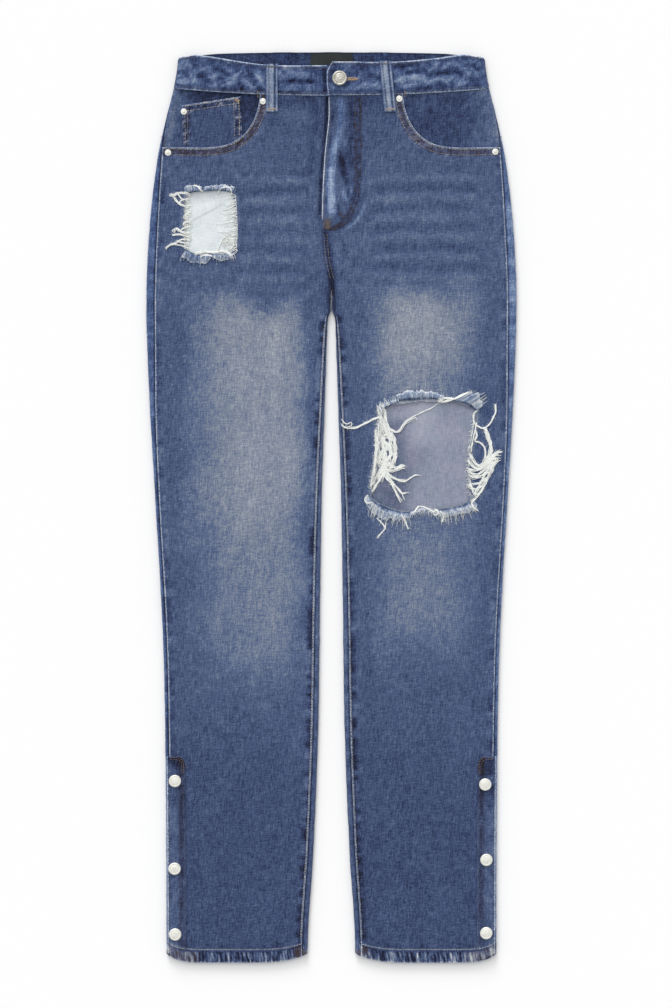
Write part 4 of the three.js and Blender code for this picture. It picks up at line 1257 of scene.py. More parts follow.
def pocket_side(x, y):
    """The pocket's side at height y, its inner one where x is low."""
    taper = POCKET_TAPER * np.clip((pocket_top(x) - y) / (pocket_top(x) - POCKET_SIDE), 0, 1)
    return np.where(x < 100, POCKET_INNER + taper, POCKET_OUTER - taper)


def back_pocket(side):
    middle = (POCKET_INNER + POCKET_OUTER) / 2
    share = np.concatenate([[0, 0.006, 0.015], steps(0.03, 0.97, 0.02), [0.985, 0.994, 1]])
    over, up = np.meshgrid(share, share)
    flat_x = mix(POCKET_INNER, POCKET_OUTER, over)
    bottom = mix(POCKET_TIP, POCKET_SIDE, np.abs(flat_x - middle) / (middle - POCKET_INNER))
    y = mix(bottom, pocket_top(flat_x), up)
    x = mix(pocket_side(0 * y, y), pocket_side(200 + 0 * y, y), over)
    inside = 138 * np.minimum(np.minimum(over, 1 - over), np.minimum(up, 1 - up))
    z = 0.45 * np.clip(1 - inside / 1.2, 0, 1) ** 2 + 0.18 * near(inside, 3, 2) * (1 + noise(x, y, 4, 4, 98))
    points, out = flat_points(x, y, z, -1)
    return for_side(side, points[:, ::-1], out[:, ::-1])


def back_loop(middle):
    ys = steps(462, 518, 1.6)
    points, out = strap(0 * ys + middle, ys, 0 * ys, LOOP_WIDTH)
    points[..., 2] = 0.3 - np.minimum(points[..., 2], 0.3)
    return points[:, ::-1], -out[:, ::-1]


# ---- Make the cloth ----
pieces = {}


def make(name, shape, thick=DENIM, materials=CLOTH, cuts=()):
    points, out = shape[:2]
    depth = shape[2] if len(shape) > 2 else np.full(points.shape[:2], float(thick))
    piece = shell(f"{name}_cloth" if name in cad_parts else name, points, out, depth, materials)
    cut(piece, *cuts)
    finish_shading(piece, CLOTH_CREASE)
    pieces[name] = piece
    return piece


def placket_corner(side):
    """Rounds the inner top corner of a vent's placket."""
    x, y = half_width(VENT_Y) - PLACKET_EDGE, VENT_Y + PLACKET_LIFT
    turn = np.linspace(math.pi, math.pi / 2, 9)
    arc = np.column_stack([x + CORNER * (1 + np.cos(turn)), y - CORNER * (1 - np.sin(turn))])
    return np.vstack([[(x - 2, y + 2), (x - 2, y - CORNER)], arc, [(x + CORNER, y + 2)]]) * (side, 1)


def ragged(outline, size, seed):
    """The outline with small tears, so that no cut is smooth."""
    found = spline(outline, 1.6, closed=True)
    middle = found.mean(0)
    away = found - middle
    away /= np.linalg.norm(away, axis=1, keepdims=True)
    k = np.arange(len(found))
    jag = noise(k, 0, 2.1, 1, seed) + 0.7 * noise(k, 0, 5.7, 1, seed + 1)
    return found + away * (size * jag)[:, None]


SIDES = {"left": 1, "right": -1}
for name, side in SIDES.items():
    edge = scoop_line(side)
    scoop = np.vstack([edge, [(side * 214, 500), (side * 81, 500)]])
    rip = ragged(KNEE_RIP, 1.0, 52) if side > 0 else ragged(HIP_RIP, 0.8, 54)
    make(f"front_{name}", front_panel(side), cuts=[scoop, rip])
    make(f"back_{name}", back_panel(side))
    make(f"yoke_{name}", yoke(side))
    make(f"back_pocket_{name}", back_pocket(side))
    make(f"pocket_facing_{name}", pocket_facing(side))
    strip = vent_strip(side, PLACKET_INSET, PLACKET_EDGE, placket_top, HEM_Y + 2, VENT_Y + PLACKET_LIFT, 95)
    make(f"vent_placket_{name}", strip, cuts=[placket_corner(side)])
    strip = vent_strip(
        side,
        UNDERLAP_INSET,
        UNDERLAP_INSET + UNDERLAP_WIDTH,
        lambda x, y: front_height(x, y) - DENIM - GAP,
        HEM_Y + HEM_FOLD + 3,
        VENT_Y - 2,
        97,
    )
    make(f"vent_underlap_{name}", strip)
coin_corners = [(-169, 399), (-100.5, 399), (-104, 469.4), (-170.5, 459.4)]
make("coin_pocket", patch(coin_corners, FRONT_UNDER, 2, 0.12, 72))
bag_corners = [(-186, 262), (-84, 262), (-80, 393), (-186, 393)]
bag = patch(bag_corners, FRONT_UNDER - 0.9, 1.4, 0.3, 73, bag_fold)
make("pocket_bag_right", bag, COTTON, [WHITE_COTTON])
label_corners = [(-25, 494), (25, 494), (24, 518.5), (-23, 518.5)]
make("waist_label", patch(label_corners, 6.0, 1.5), COTTON, [BLACK_LABEL])
make("zip_tape", patch([(-4, 348), (19, 348), (22, 466), (2, 466)], FOLD - GAP / 2, 2.5), COTTON, [DENIM_OUT])
make("waistband", waistband(), BAND - 0.3, [DENIM_OUT, DENIM_OUT, DENIM_RAW])
for name, x in BACK_LOOPS_X.items():
    make(f"loop_back_{name}", back_loop(x), LOOP_THICK - 0.3)
make("loop_front_right", front_loop(-68, -68, right_end_height(-68), 506), LOOP_THICK - 0.2)
make("loop_front_left", front_loop(61, 67, left_end_height(55), 509.5), LOOP_THICK - 0.2)


# ---- Paint ----
def paint_cloth(piece, extra=None):
    """Sets the tone, tan and edge of a piece's points; extra gives what its own places add."""
    at = positions(piece)
    x, y, z = at.T
    tone, tan, edge = wash(x, y), np.zeros(len(x)), np.full(len(x), NO_EDGE)
    if extra:
        tone, tan, edge = extra(x, y, z, tone, tan, edge)
    paint(piece, "tone", tone / 255)
    paint(piece, "tan", tan)
    paint(piece, "edge", edge)
    hemmed = piece.name.startswith(("front", "back", "vent_placket"))
    paint(piece, "pucker", hem_pucker(x, y) if hemmed else 0 * x)


def up_from_hem(x, y):
    return y - HEM_Y - hem_shift(np.abs(x), np.full(len(x), HEM_Y))


def hem_look(x, y, seed):
    """How the turned-up hem changes the tone, and how brown it is."""
    up = up_from_hem(x, y)
    rope = noise(x + 0.5 * up, 0, 9, 1, seed + 1)
    ends = np.maximum(smooth((np.abs(x) - 146) / 16), smooth((48 - np.abs(x)) / 12))
    in_band = within(up, 2, HEM_FOLD - 3.5, 2)
    change = (14 * rope - 6 + 24 * ends + 6 * np.sign(x)) * in_band - 22 * near(up, HEM_FOLD - 2.8, 1.8)
    change = change + 24 * near(up, HEM_FOLD + 0.6, 1.5) - 14 * rope * near(up, HEM_FOLD + 4, 5)
    return change, 0.12 * near(up, 0, 3) + 0.2 * ends * in_band


def hem_pucker(x, y):
    """How strongly a hem is puckered."""
    up = up_from_hem(x, y)
    return within(up, 1.5, HEM_FOLD - 3.5, 2) + 0.14 * near(up, HEM_FOLD + 4, 5)


def front_paint(side):
    scoop = scoop_line(side)

    def extra(x, y, z, tone, tan, edge):
        d_side, d_in = side_seam(y) - np.abs(x), np.abs(x) - inseam(y)
        d_in = np.where(y < CROTCH_Y - 2, d_in, FAR)
        for d, seed, gain in ((d_side, 31 + side, 1), (d_in, 35 + side, 1.5)):
            rope = np.clip(2 * roping(y, seed) + 1.1 * noise(y, 0, 13, 1, seed + 4), -1, 1)
            tone = tone + gain * 19 * (rope - 0.4) * smooth(1 - np.abs(d - 4.8) / 5.5)
            # Painted shade in the valley beside the seam.
            tone = tone - gain * 13 * near(d, 2.8, 1.6)
            edge = np.minimum(edge, 0.7 * np.abs(d) + 0.35)
        change, brown = hem_look(x, y, 45 + side)
        tone, tan = tone + change, np.maximum(tan, brown)
        edge = np.minimum(edge, up_from_hem(x, y) * 0.7 + 0.3)
        close = (np.abs(x) > 70) & (y > 400)
        d = np.full(len(x), np.inf)
        d[close] = distance_to(x[close], y[close], scoop)
        tone = tone - 34 * within(d, 2, 8.4, 1.6) + 30 * noise(x, y, 2.6, 2.6, 75) * within(d, 1, 10, 2)
        fleck = np.maximum(noise(x, y, 2.2, 2.2, 76) - 0.25, 0) * within(d, 2, 9, 2)
        tone, tan = tone + 60 * fleck, np.maximum(tan, 0.5 * fleck + 0.1 * within(d, 2, 8.4, 1.6))
        tone = tone + 14 * near(d, 10.8, 1.8) + (4 + 4 * side) * within(d, 3, 8, 1.6)
        edge = np.minimum(edge, d + 0.2)
        if side > 0:
            on_fly = smooth((y - FLY_Y - 6) / 6)
            d = np.where(on_fly > 0, x - fly_edge(y), FAR)
            edge = np.minimum(edge, mix(NO_EDGE, np.abs(d) * 1.2 + 0.2, on_fly))
            ladder = near(x, fly_edge(y) + 4.6, 2.8) * (0.5 + 0.5 * np.cos(2 * math.pi * y / 2.6))
            tone = tone - 34 * ladder * within(y, 330, 466, 4)
            block = within(x, -9, -0.4, 0.8) * within(y, 318, 328, 0.8)
            tan = np.maximum(tan, 0.3 * block)
            close = (x > -4) & (x < 42) & (y > 306)
            rows = np.zeros(len(x))
            for line in (J_CURVE, J_INNER):
                d = distance_to(x[close], y[close], line)
                rows[close] = np.maximum(rows[close], near(d, 0, 2.7))
            rows = rows * smooth(0.75 + 1.1 * noise(x, y, 3, 3.4, 89)) * (y < 468)
            d = distance_to(x[close], y[close], J_CURVE - (2.8, -0.7))
            mottle = 1 + 0.7 * noise(x[close], y[close], 3, 3, 79)
            tone[close] -= 15 * near(d, 0, 6.5) * mottle * (y[close] < 468)
            tone, tan = tone - 30 * block - 36 * rows, np.maximum(tan, 0.1 * rows)
        # The fly: worn paler lines, painted highlights on its raised folds, and painted shadows beside its
        # edge, under the waistband and in the crotch; the brightest places keep a fresher blue.
        wear_and_shading = strokes(x, y, FLY_SHADES)
        tone = tone + wear_and_shading * (1 + 0.12 * noise(x, y, 3, 7, 90))
        tan = np.where(wear_and_shading > 6, np.minimum(tan, -smooth((wear_and_shading - 6) / 14)), tan)
        d = distance_near(x, y, KNEE if side > 0 else HIP, 16)
        tone = tone + 34 * np.exp(-((d / 3.0) ** 2)) - 6 * near(d, 9, 6)
        return tone, tan, edge

    return extra


def back_paint(side):
    def extra(x, y, z, tone, tan, edge):
        tone = tone + 8 + 14 * roping(y + 5, 61 + side) * (z > 3)
        d_side, d_in = np.abs(x) - side_seam(y), inseam(y) - np.abs(x)
        d_in = np.where(y < CROTCH_Y - 2, d_in, FAR)
        seam = np.minimum(np.abs(d_side), np.abs(d_in))
        rope = np.clip(2 * roping(y, 65 + side) + noise(y, 0, 15, 1, 68), -1, 1)
        strip = (14 * (x > 0) - 12 + 9 * rope) * smooth((np.abs(x) - 60) / 60)
        vent = smooth((-282 - y) / 8) * (d_side > -3)
        tone = tone + (strip - 44 * (1 - vent) * near(seam, 0.2, 2.4)) * (z > 2)
        up = y - HEM_Y
        tone = tone + 26 * noise(x + 0.5 * y, up, 3.4, 7, 93) * within(up, 0, HEM_FOLD, 2) * (z > 2)
        brown = 0.3 * near(up, 1, 5)
        tan = np.where(brown > 0.05, brown, -smooth((np.abs(x) - 60) / 60))
        from_fold = np.abs(half_width(y) - np.abs(x))
        edge = np.where(z > 2, np.minimum(edge, 0.6 * from_fold + 1.2 - 0.4 * vent), edge)
        hidden, underside = z < 3, z < 0.7
        seat = np.exp(-(((np.abs(x) - 95) / 70) ** 2)) * np.exp(-(((y - 250) / 110) ** 2))
        # Seen through the knee rip: the painted shade of a crease across the wrong side, and the painted
        # shadow of the loose threads along its left.
        crease_shade = 0.35 * near(0.5 * (y - 95) - (x - 118), 0, 22) * within(y, 20, 100, 30)
        shadow = 0.95 * smooth((98 - x) / 26) * within(y, -5, 92, 14)
        clear = 0.7 * near(x, 108, 30) * within(y, 82, 140, 24)
        tan = np.where(hidden, clear - crease_shade - shadow, tan) * ~underside
        return np.where(hidden, tone * 0 + 92 + 22 * seat, tone), tan, edge

    return extra


def band_paint(x, y, z, tone, tan, edge):
    top = np.where(x < -5, right_top_edge(x), left_top_edge(x))
    low = waist_seam(x)
    tone = tone + 5 + 12 * (noise(x + 0.4 * y, y, 5.5, 26, 81) + 0.5 * noise(x, y, 11, 14, 82))
    # Painted highlights and shade of the band's wrinkles.
    tone = tone + 20 * crumple(x, y, 80) + 4 * noise(x, y, 3.5, 4.5, 84) + 1.35 * strokes(x, y, BAND_SHADES)
    tone = tone - 16 * near(y, low + 4.5, 2.5) - 10 * near(y, top - 4.5, 2.5)
    rows = near(y, low + 3, 2) + near(y, top - 2.5, 2)
    tan = np.where(rows > 0.3, 0.12 * rows, -0.6) * (z > 4)
    edge = np.minimum(np.abs(y - top) * 0.9 + 0.1, np.abs(y - low) * 0.9 + 0.4)
    end = np.where((z > 9) & (y > 468), np.abs(x - BAND_END["left"] - end_lean(x - 3, y)), NO_EDGE)
    inside = (z < 5) & (z > 1.2)
    # Pale, chafed patches beside the loops.
    worn = within(x, -54, -20, 9) * within(y, 472, 482, 5) + within(x, 76, 138, 12) * within(y, 483, 490, 5)
    tone = tone + 7 * worn * (1 + 0.5 * noise(x, y, 6, 12, 85))
    # The band's inside, seen above the back: darkened as painted shade, with painted highlights on its
    # wrinkles.
    lining = 68 + 14 * crumple(x, y, 86, 0.8) + 6 * noise(x, y, 7, 9, 86)
    return np.where(inside, lining, tone), tan, np.where(inside, NO_EDGE, np.minimum(edge, end))


def vent_paint(side):
    def extra(x, y, z, tone, tan, edge):
        outer = half_width(y) - np.abs(x) - PLACKET_INSET
        inner = PLACKET_WIDTH - outer
        rope = roping(y, 95) + 0.5 * noise(y, 0, 14, 1, 105)
        tone = tone + 6 + 22 * rope * near(np.minimum(outer, inner), 3.2, 3.6) - 24 * near(inner, 5, 4)
        tone = tone + 10 * noise(x, y, 5, 12, 94)
        tan = 0.06 * near(inner, 5, 3.5) * (0.6 + 0.6 * noise(x, y, 2, 4, 96))
        tan = tan - 0.6 * smooth((10 - outer) / 6)
        # The top gets painted shade, where the fold dives into the seam.
        dark = within(y, VENT_Y - (15 if side > 0 else 6), VENT_Y + 5, 8) * within(outer, 2, 30, 2)
        tone = tone - 28 * dark * smooth((VENT_Y + PLACKET_LIFT - y) / 1.6)
        tone = tone - 14 * within(y, VENT_Y - 48, VENT_Y, 12)
        change, brown = hem_look(x, y, 45 + side)
        return tone + change, np.maximum(tan, brown), outer * 0.8 + 0.2

    return extra


FACING_SHADES = [
    ([(-180, 472), (-181, 450), (-185, 430), (-187, 414)], 6, 26),
    ([(184, 474), (189, 450), (192, 420)], 5, 18), ([(96, 473), (130, 475), (172, 478)], 5, 16),
    ([(-150, 404), (-128, 404), (-106, 412)], 4, -12), ([(-98, 468), (-93, 450), (-96, 432)], 5, 7),
]


def facing_paint(shift):
    def extra(x, y, z, tone, tan, edge):
        outer = smooth((np.abs(x) - 145) / 26)
        # Painted light and shade of small crinkles.
        tone = tone + shift + 20 * outer + 7 * noise(x, y, 6, 9, 74) + 8 * crumple(x, y, 106, 1.3)
        return tone + strokes(x, y, FACING_SHADES), tan, edge

    return extra


def coin_paint(x, y, z, tone, tan, edge):
    top = 459.4 + 10 * (x + 170.5) / 66.5
    d = top - y
    d_side = np.minimum(x + 170.2, -101.5 - x)
    band = np.maximum(within(d, 0, 8, 1), within(d_side, 0, 8, 1))
    fleck = np.maximum(noise(x, y, 2.2, 2.2, 78) - 0.2, 0) * band
    tone = tone - 7 - 20 * band + 26 * noise(x, y, 2.6, 2.6, 77) * band + 130 * fleck
    tan = 0.6 * fleck
    return tone, tan, np.minimum(d, d_side + 1) * 0.8


def pocket_paint(x, y, z, tone, tan, edge):
    side = np.abs(np.abs(x) - pocket_side(np.abs(x), y))
    top = pocket_top(np.abs(x)) - y
    d = np.minimum(side, top)
    rope = np.clip(2 * roping(x + y, 64), -1, 1)
    tone = 92 + 18 * rope * near(d, 4, 4) + 5 * noise(x, y, 9, 12, 99) - 8 * within(top, 0, 18, 2)
    return tone, tan, d * 0.7


for name, side in SIDES.items():
    paint_cloth(pieces[f"front_{name}"], front_paint(side))
    paint_cloth(pieces[f"back_{name}"], back_paint(side))
    paint_cloth(pieces[f"yoke_{name}"], back_paint(side))
    paint_cloth(pieces[f"vent_placket_{name}"], vent_paint(side))
    # The underlap shows in the notch above the placket, darkened as painted shade.
    paint_cloth(pieces[f"vent_underlap_{name}"], lambda x, y, z, tone, tan, edge: (tone - 44, tan, edge))
shade_of = {"left": -16, "right": -31}
for name, shift in shade_of.items():
    paint_cloth(pieces[f"pocket_facing_{name}"], facing_paint(shift))
for name in SIDES:
    paint_cloth(pieces[f"back_pocket_{name}"], pocket_paint)
paint_cloth(pieces["coin_pocket"], coin_paint)
paint_cloth(pieces["waistband"], band_paint)
paint_cloth(pieces["zip_tape"], lambda x, y, z, tone, tan, edge: (tone - 40, tan, edge))
for name in ("loop_front_right", "loop_front_left", *(f"loop_back_{n}" for n in BACK_LOOPS_X)):
    middle = np.mean(positions(pieces[name])[:, 0])

    def loop_paint(x, y, z, tone, tan, edge):
        line = middle - (0.104 * (y - 480) if name == "loop_front_left" else 0)
        side_edge = LOOP_WIDTH / 2 - np.abs(x - line)
        dark = np.maximum(near(x - line, -2.6, 1.2), near(x - line, 3.4, 1.2))
        # Dark lines along its stitched channels, painted shade just past its rolled sides, and a painted
        # gradient that leaves one side lighter.
        tone = tone + 52 + 14 * noise(x, y, 4, 9, 92) - 84 * dark - 46 * near(side_edge, -0.6, 1.4)
        return tone + 6 + 8 * (x - line) / 6, tan - 0.4, NO_EDGE + 0 * x

    paint_cloth(pieces[name], loop_paint)


# ---- Places on the cloth ----
class Surface:
    """Finds how high some pieces reach at a place or, from below, how low."""

    def __init__(self, *names, below=False):
        depsgraph = bpy.context.evaluated_depsgraph_get()
        self.trees = [BVHTree.FromObject(pieces[n], depsgraph) for n in names]
        self.start, self.way = (-0.1, 1.0) if below else (0.1, -1.0)
        self.best = min if below else max

    def at(self, x, y, otherwise=0.0):
        start = Vector((x * MM, y * MM, self.start))
        hits = [t.ray_cast(start, Vector((0, 0, self.way)))[0] for t in self.trees]
        found = [h.z / MM for h in hits if h is not None]
        return self.best(found) if found else otherwise

    def along(self, line):
        return np.array([self.at(x, y) for x, y in line[:, :2]])


def lengths(line):
    return np.concatenate([[0], np.cumsum(np.linalg.norm(np.diff(line, axis=0), axis=1))])


def resample(line, count):
    line = np.asarray(line, float)
    at = lengths(line)
    want = np.linspace(0, at[-1], count)
    return np.stack([np.interp(want, at, line[:, k]) for k in range(line.shape[1])], -1)


def beside(line, distance):
    """The line moved sideways, to its left where distance is positive."""
    along = np.gradient(line, axis=0)
    along /= np.maximum(np.linalg.norm(along, axis=1, keepdims=True), 1e-9)
    return line + distance * np.stack([-along[:, 1], along[:, 0]], -1)


def settled(line, surface, lift):
    """The line laid over the surface, without following its smallest steps."""
    z = surface.along(line)
    reach = 2
    padded_z = np.pad(z, reach, mode="edge")
    mean = np.convolve(padded_z, np.ones(2 * reach + 1) / (2 * reach + 1), mode="valid")
    return np.column_stack([line, np.maximum(z, mean) + lift])


# ---- Sewing ----
PITCH, REAR_PITCH, THREAD = 3.1, 3.6, 0.27
UNDER_SINK = 0.2  # keeps threads on the underside off the surface it rests on
TAN, BROWN, WHITE, CREAM = 0, 1, 2, 3


def sew(b, line, surface, kind, tone, radius=THREAD):
    """A row of stitches along a line, each sunk into the cloth at both ends."""
    rng = np.random.default_rng(900 + len(line))
    line = np.asarray(line, float)
    sign = surface.way * -1
    pitch, corners = (PITCH, 5) if sign > 0 else (REAR_PITCH, 4)
    count = max(1, int(lengths(line)[-1] / pitch))
    places = resample(line, 4 * count + 1)
    for k in range(count):
        a, c = places[4 * k], places[4 * k + 3]
        share = np.array([0, 0.12, 0.5, 0.88, 1])[:, None]
        at = mix(a, c, share)
        z = np.array([surface.at(x, y) for x, y in at[[0, 2, 4]]])
        z = np.array([z[0], z[0], z[1], z[2], z[2]])
        z = z + sign * radius * np.array([-1.1, 0.35, 0.55, 0.35, -1.1]) - min(sign, 0) * UNDER_SINK
        thick = radius * np.array([0.7, 1, 1.1, 1, 0.7])
        shade = tone + rng.uniform(-0.25, 0.25)
        b.tube(np.column_stack([at, z]), thick, corners, kind, shade)


def bartack(b, start, end, surface, width=2.2, kind=TAN, tone=0.6, radius=0.25):
    """A close zigzag between two places."""
    start, end = np.array(start, float), np.array(end, float)
    count = max(4, int(np.linalg.norm(end - start) / 0.55))
    line = resample(np.array([start, end]), count)
    sides = [beside(line, width / 2), beside(line, -width / 2)]
    zigzag = np.array([sides[i % 2][i] for i in range(count)])
    sign = surface.way * -1
    z = surface.along(zigzag) + sign * radius * 0.5 - min(sign, 0) * UNDER_SINK
    dense = resample(np.column_stack([zigzag, z]), count * 3)
    b.tube(dense, radius, 5, kind, tone + 0.2 * noise(np.arange(len(dense)), 0, 3, 1, count))


# ---- Loose threads ----
def hank(b, points, count, spread, radius, tone, seed):
    """Loose threads that run together through a few places and part a little on the way."""
    rng = np.random.default_rng(300 + seed)
    line = spline(points, 1.5)
    n = len(line)
    t = np.linspace(0, 1, n)
    ends = 0.55 + 0.45 * np.sin(math.pi * t) if count < 4 else 1.15 - 0.5 * np.sin(math.pi * t)
    for k in range(count):
        start, stop = int(rng.uniform(0, 0.1) * n), n - int(rng.uniform(0, 0.14) * n)
        own = rng.uniform(-1, 1)
        wave = 0.5 * np.sin(rng.uniform(0, 6.3) + t * n * 1.5 / rng.uniform(7, 14) * 6.3)
        offset = spread * (own * ends + 0.35 * wave)
        wiggle = 0.25 * noise(np.arange(n), k, 3.1, 1, seed + k)
        path = (line + (beside(line, 1) - line) * (offset + wiggle)[:, None])[start:stop]
        if len(path) < 4:
            continue
        stack = radius * (1 + 1.6 * rng.uniform(0, 1) * min(1, count / 5))
        laid = settled(path, LIP_SURFACE, stack)
        taper = np.interp(np.linspace(0, 1, len(path)), [0, 0.08, 0.9, 1], [0.6, 1, 1, 0.45])
        b.tube(laid, radius * rng.uniform(0.75, 1.15) * taper, 5, WHITE, tone + rng.uniform(-0.14, 0.1))


def fuzz(b, points, count, spread, reach, seed):
    """Fine hairs that stand off a bundle of loose threads."""
    rng = np.random.default_rng(700 + seed)
    line = resample(spline(points, 1.3), 60)
    for _ in range(count):
        x, y = line[rng.integers(60)] + rng.normal(0, spread * 0.5, 2)
        turn, bend, size = rng.uniform(0, 2 * math.pi), rng.uniform(-1.2, 1.2), rng.uniform(0.4, 1) * reach
        t = np.linspace(0, 1, 6)
        path = np.column_stack([
            x + size * t * np.cos(turn + bend * t),
            y + size * t * np.sin(turn + bend * t),
        ])
        z = RIP_SURFACE.at(x, y) + 0.7 + 1.1 * rng.uniform(0, 1) * (1 - 0.7 * t) + 0.2
        b.tube(np.column_stack([path, z]), 0.13 * np.linspace(1, 0.5, 6), 3, WHITE, rng.uniform(0.7, 1))


def lip(name, base, tips, seed, tone, lift, cloth):
    """The torn cloth's own edge, turned back over the front from base to tips."""
    count = max(8, int(lengths(spline(base, 1))[-1] / 1.1))
    low, high = resample(spline(base, 1), count), resample(spline(tips, 1), count)
    reach = cloth * (0.82 + 0.18 * noise(np.arange(count), 0, 1.7, 1, seed))
    t = np.linspace(0, 1, 9)[:, None, None]
    flat = mix(low, low + (high - low) * reach[:, None], t)
    share = t[..., 0]
    under = np.array([[RIP_SURFACE.at(x, y) for x, y in row] for row in flat])
    under = np.maximum(under, under[0])
    folds = 1 + 0.45 * noise(np.arange(count), 0, 4.2, 1, seed + 1)
    z = under + 0.35 + lift * folds * np.sin(math.pi * np.clip(0.12 + 0.8 * share, 0, 1))
    points, out = flat_points(flat[..., 0], flat[..., 1], z)
    if np.cross(flat[0, 1] - flat[0, 0], flat[1, 0] - flat[0, 0]) < 0:
        points, out = points[:, ::-1], out[:, ::-1]
    piece = make(name, (points, out), 0.6, [FRAYED])
    at = positions(piece)
    share = np.tile(np.broadcast_to(np.linspace(0, 1, 9)[:, None], flat.shape[:2]).ravel(), 2)
    # Painted light on the lip: paler where it stands higher, painted shade at its base, and pale tips that
    # are partly painted highlight and partly pale weft.
    shade = tone + 26 * noise(at[:, 0], at[:, 1], 3.2, 3.2, seed + 2) + 14 * (at[:, 2] - at[:, 2].mean())
    shade = shade + 14 - 60 * near(share, 0, 0.35) + 74 * smooth((share - 0.74) / 0.2)
    shade = shade + 38 * np.clip(noise(at[:, 0] + 0.4 * at[:, 1], at[:, 1], 2.2, 9, seed + 3), -0.4, 1)
    paint(piece, "tone", shade / 255)
    paint(piece, "tan", 0 * shade)
    paint(piece, "edge", np.full(len(shade), NO_EDGE))
    return piece


FRINGE_LIFT = 0.5


def fringe(b, base, tips, seed, pitch, tone, radius, mess):
    """Short threads from a torn edge to about the line of tips."""
    rng = np.random.default_rng(500 + seed)
    count = max(4, int(lengths(spline(base, 1))[-1] / pitch))
    low, high = resample(spline(base, 1), count), resample(spline(tips, 1), count)
    for k in range(count):
        end = mix(low[k], high[k], rng.uniform(0.65, 1.18)) + rng.normal(0, mess, 2)
        middle = mix(low[k], end, 0.55) + rng.normal(0, 0.8 * mess, 2)
        path = spline([low[k], middle, end], 1.0)
        rise = FRINGE_LIFT * np.sin(np.linspace(0.15, 1, len(path)) * math.pi) + radius
        laid = settled(path, LIP_SURFACE, 0)
        laid[:, 2] += rise
        taper = np.linspace(1, 0.5, len(path))
        b.tube(laid, radius * rng.uniform(0.8, 1.3) * taper, 5, WHITE, tone + rng.uniform(-0.3, 0.35))


RIP_SURFACE = Surface("front_left", "front_right", "back_left", "back_right", "pocket_bag_right")
rip_lips = {
    "left": [
        lip("knee_lip_top", [(76, 122), (90, 123), (105, 124), (118, 124), (127, 122.5)],
            [(73, 130), (85, 134.5), (104, 135.5), (118, 134), (129, 129)], 101, 116, 1.9, 1.0),
        lip("knee_lip_top_left", [(56, 108), (60, 113), (68, 117), (77, 121)],
            [(53, 116), (57, 121), (66, 124), (77, 126)], 104, 140, 0.9, 0.8),
        lip("knee_lip_corner", [(136, 122.5), (148, 120), (158, 116), (166, 110)],
            [(139, 125), (157, 133.5), (173, 131), (175, 118)], 107, 118, 1.4, 0.97),
        lip("knee_lip_low", [(44, 14), (47, 8), (60, 1.5), (76, -4.5), (90, -5)],
            [(36, 9), (42, -6), (56, -17), (76, -18), (92, -14)], 110, 118, 1.5, 0.85),
        lip("knee_lip_middle", [(90, -5), (96, -1.5), (104, 0), (112, -1.5), (120, -4)],
            [(92, -13), (98, -9), (105, -6), (112, -7), (121, -10)], 113, 160, 1.3, 0.8),
        lip("knee_lip_right", [(122, -3), (134, -0.5), (147, 1.5), (158, 6), (163, 8)],
            [(124, -14), (138, -14), (152, -11), (164, -8), (169, 1)], 116, 118, 1.3, 0.85),
    ],
    "right": [
        lip("hip_lip_top_left", [(-166, 358), (-159, 360), (-149, 361)],
            [(-169, 366), (-160, 370), (-147, 367)], 119, 125, 1.3, 0.95),
        lip("hip_lip_top_right", [(-146, 361), (-134, 362), (-120, 361), (-112, 359)],
            [(-144, 367), (-134, 369), (-121, 370), (-110, 367)], 122, 120, 1.3, 0.95),
        lip("hip_lip_low_left", [(-166, 294), (-158, 290), (-148, 288), (-138, 289)],
            [(-172, 284), (-161, 277), (-149, 273), (-138, 281)], 125, 122, 1.2, 0.88),
        lip("hip_lip_low_right", [(-136, 289.5), (-126, 289), (-113, 289)],
            [(-135, 280), (-124, 280), (-110, 282)], 128, 124, 1.2, 0.9),
    ],
}
lip_names = [p.name for group in rip_lips.values() for p in group]
LIP_SURFACE = Surface("front_left", "front_right", "back_left", "pocket_bag_right", *lip_names)

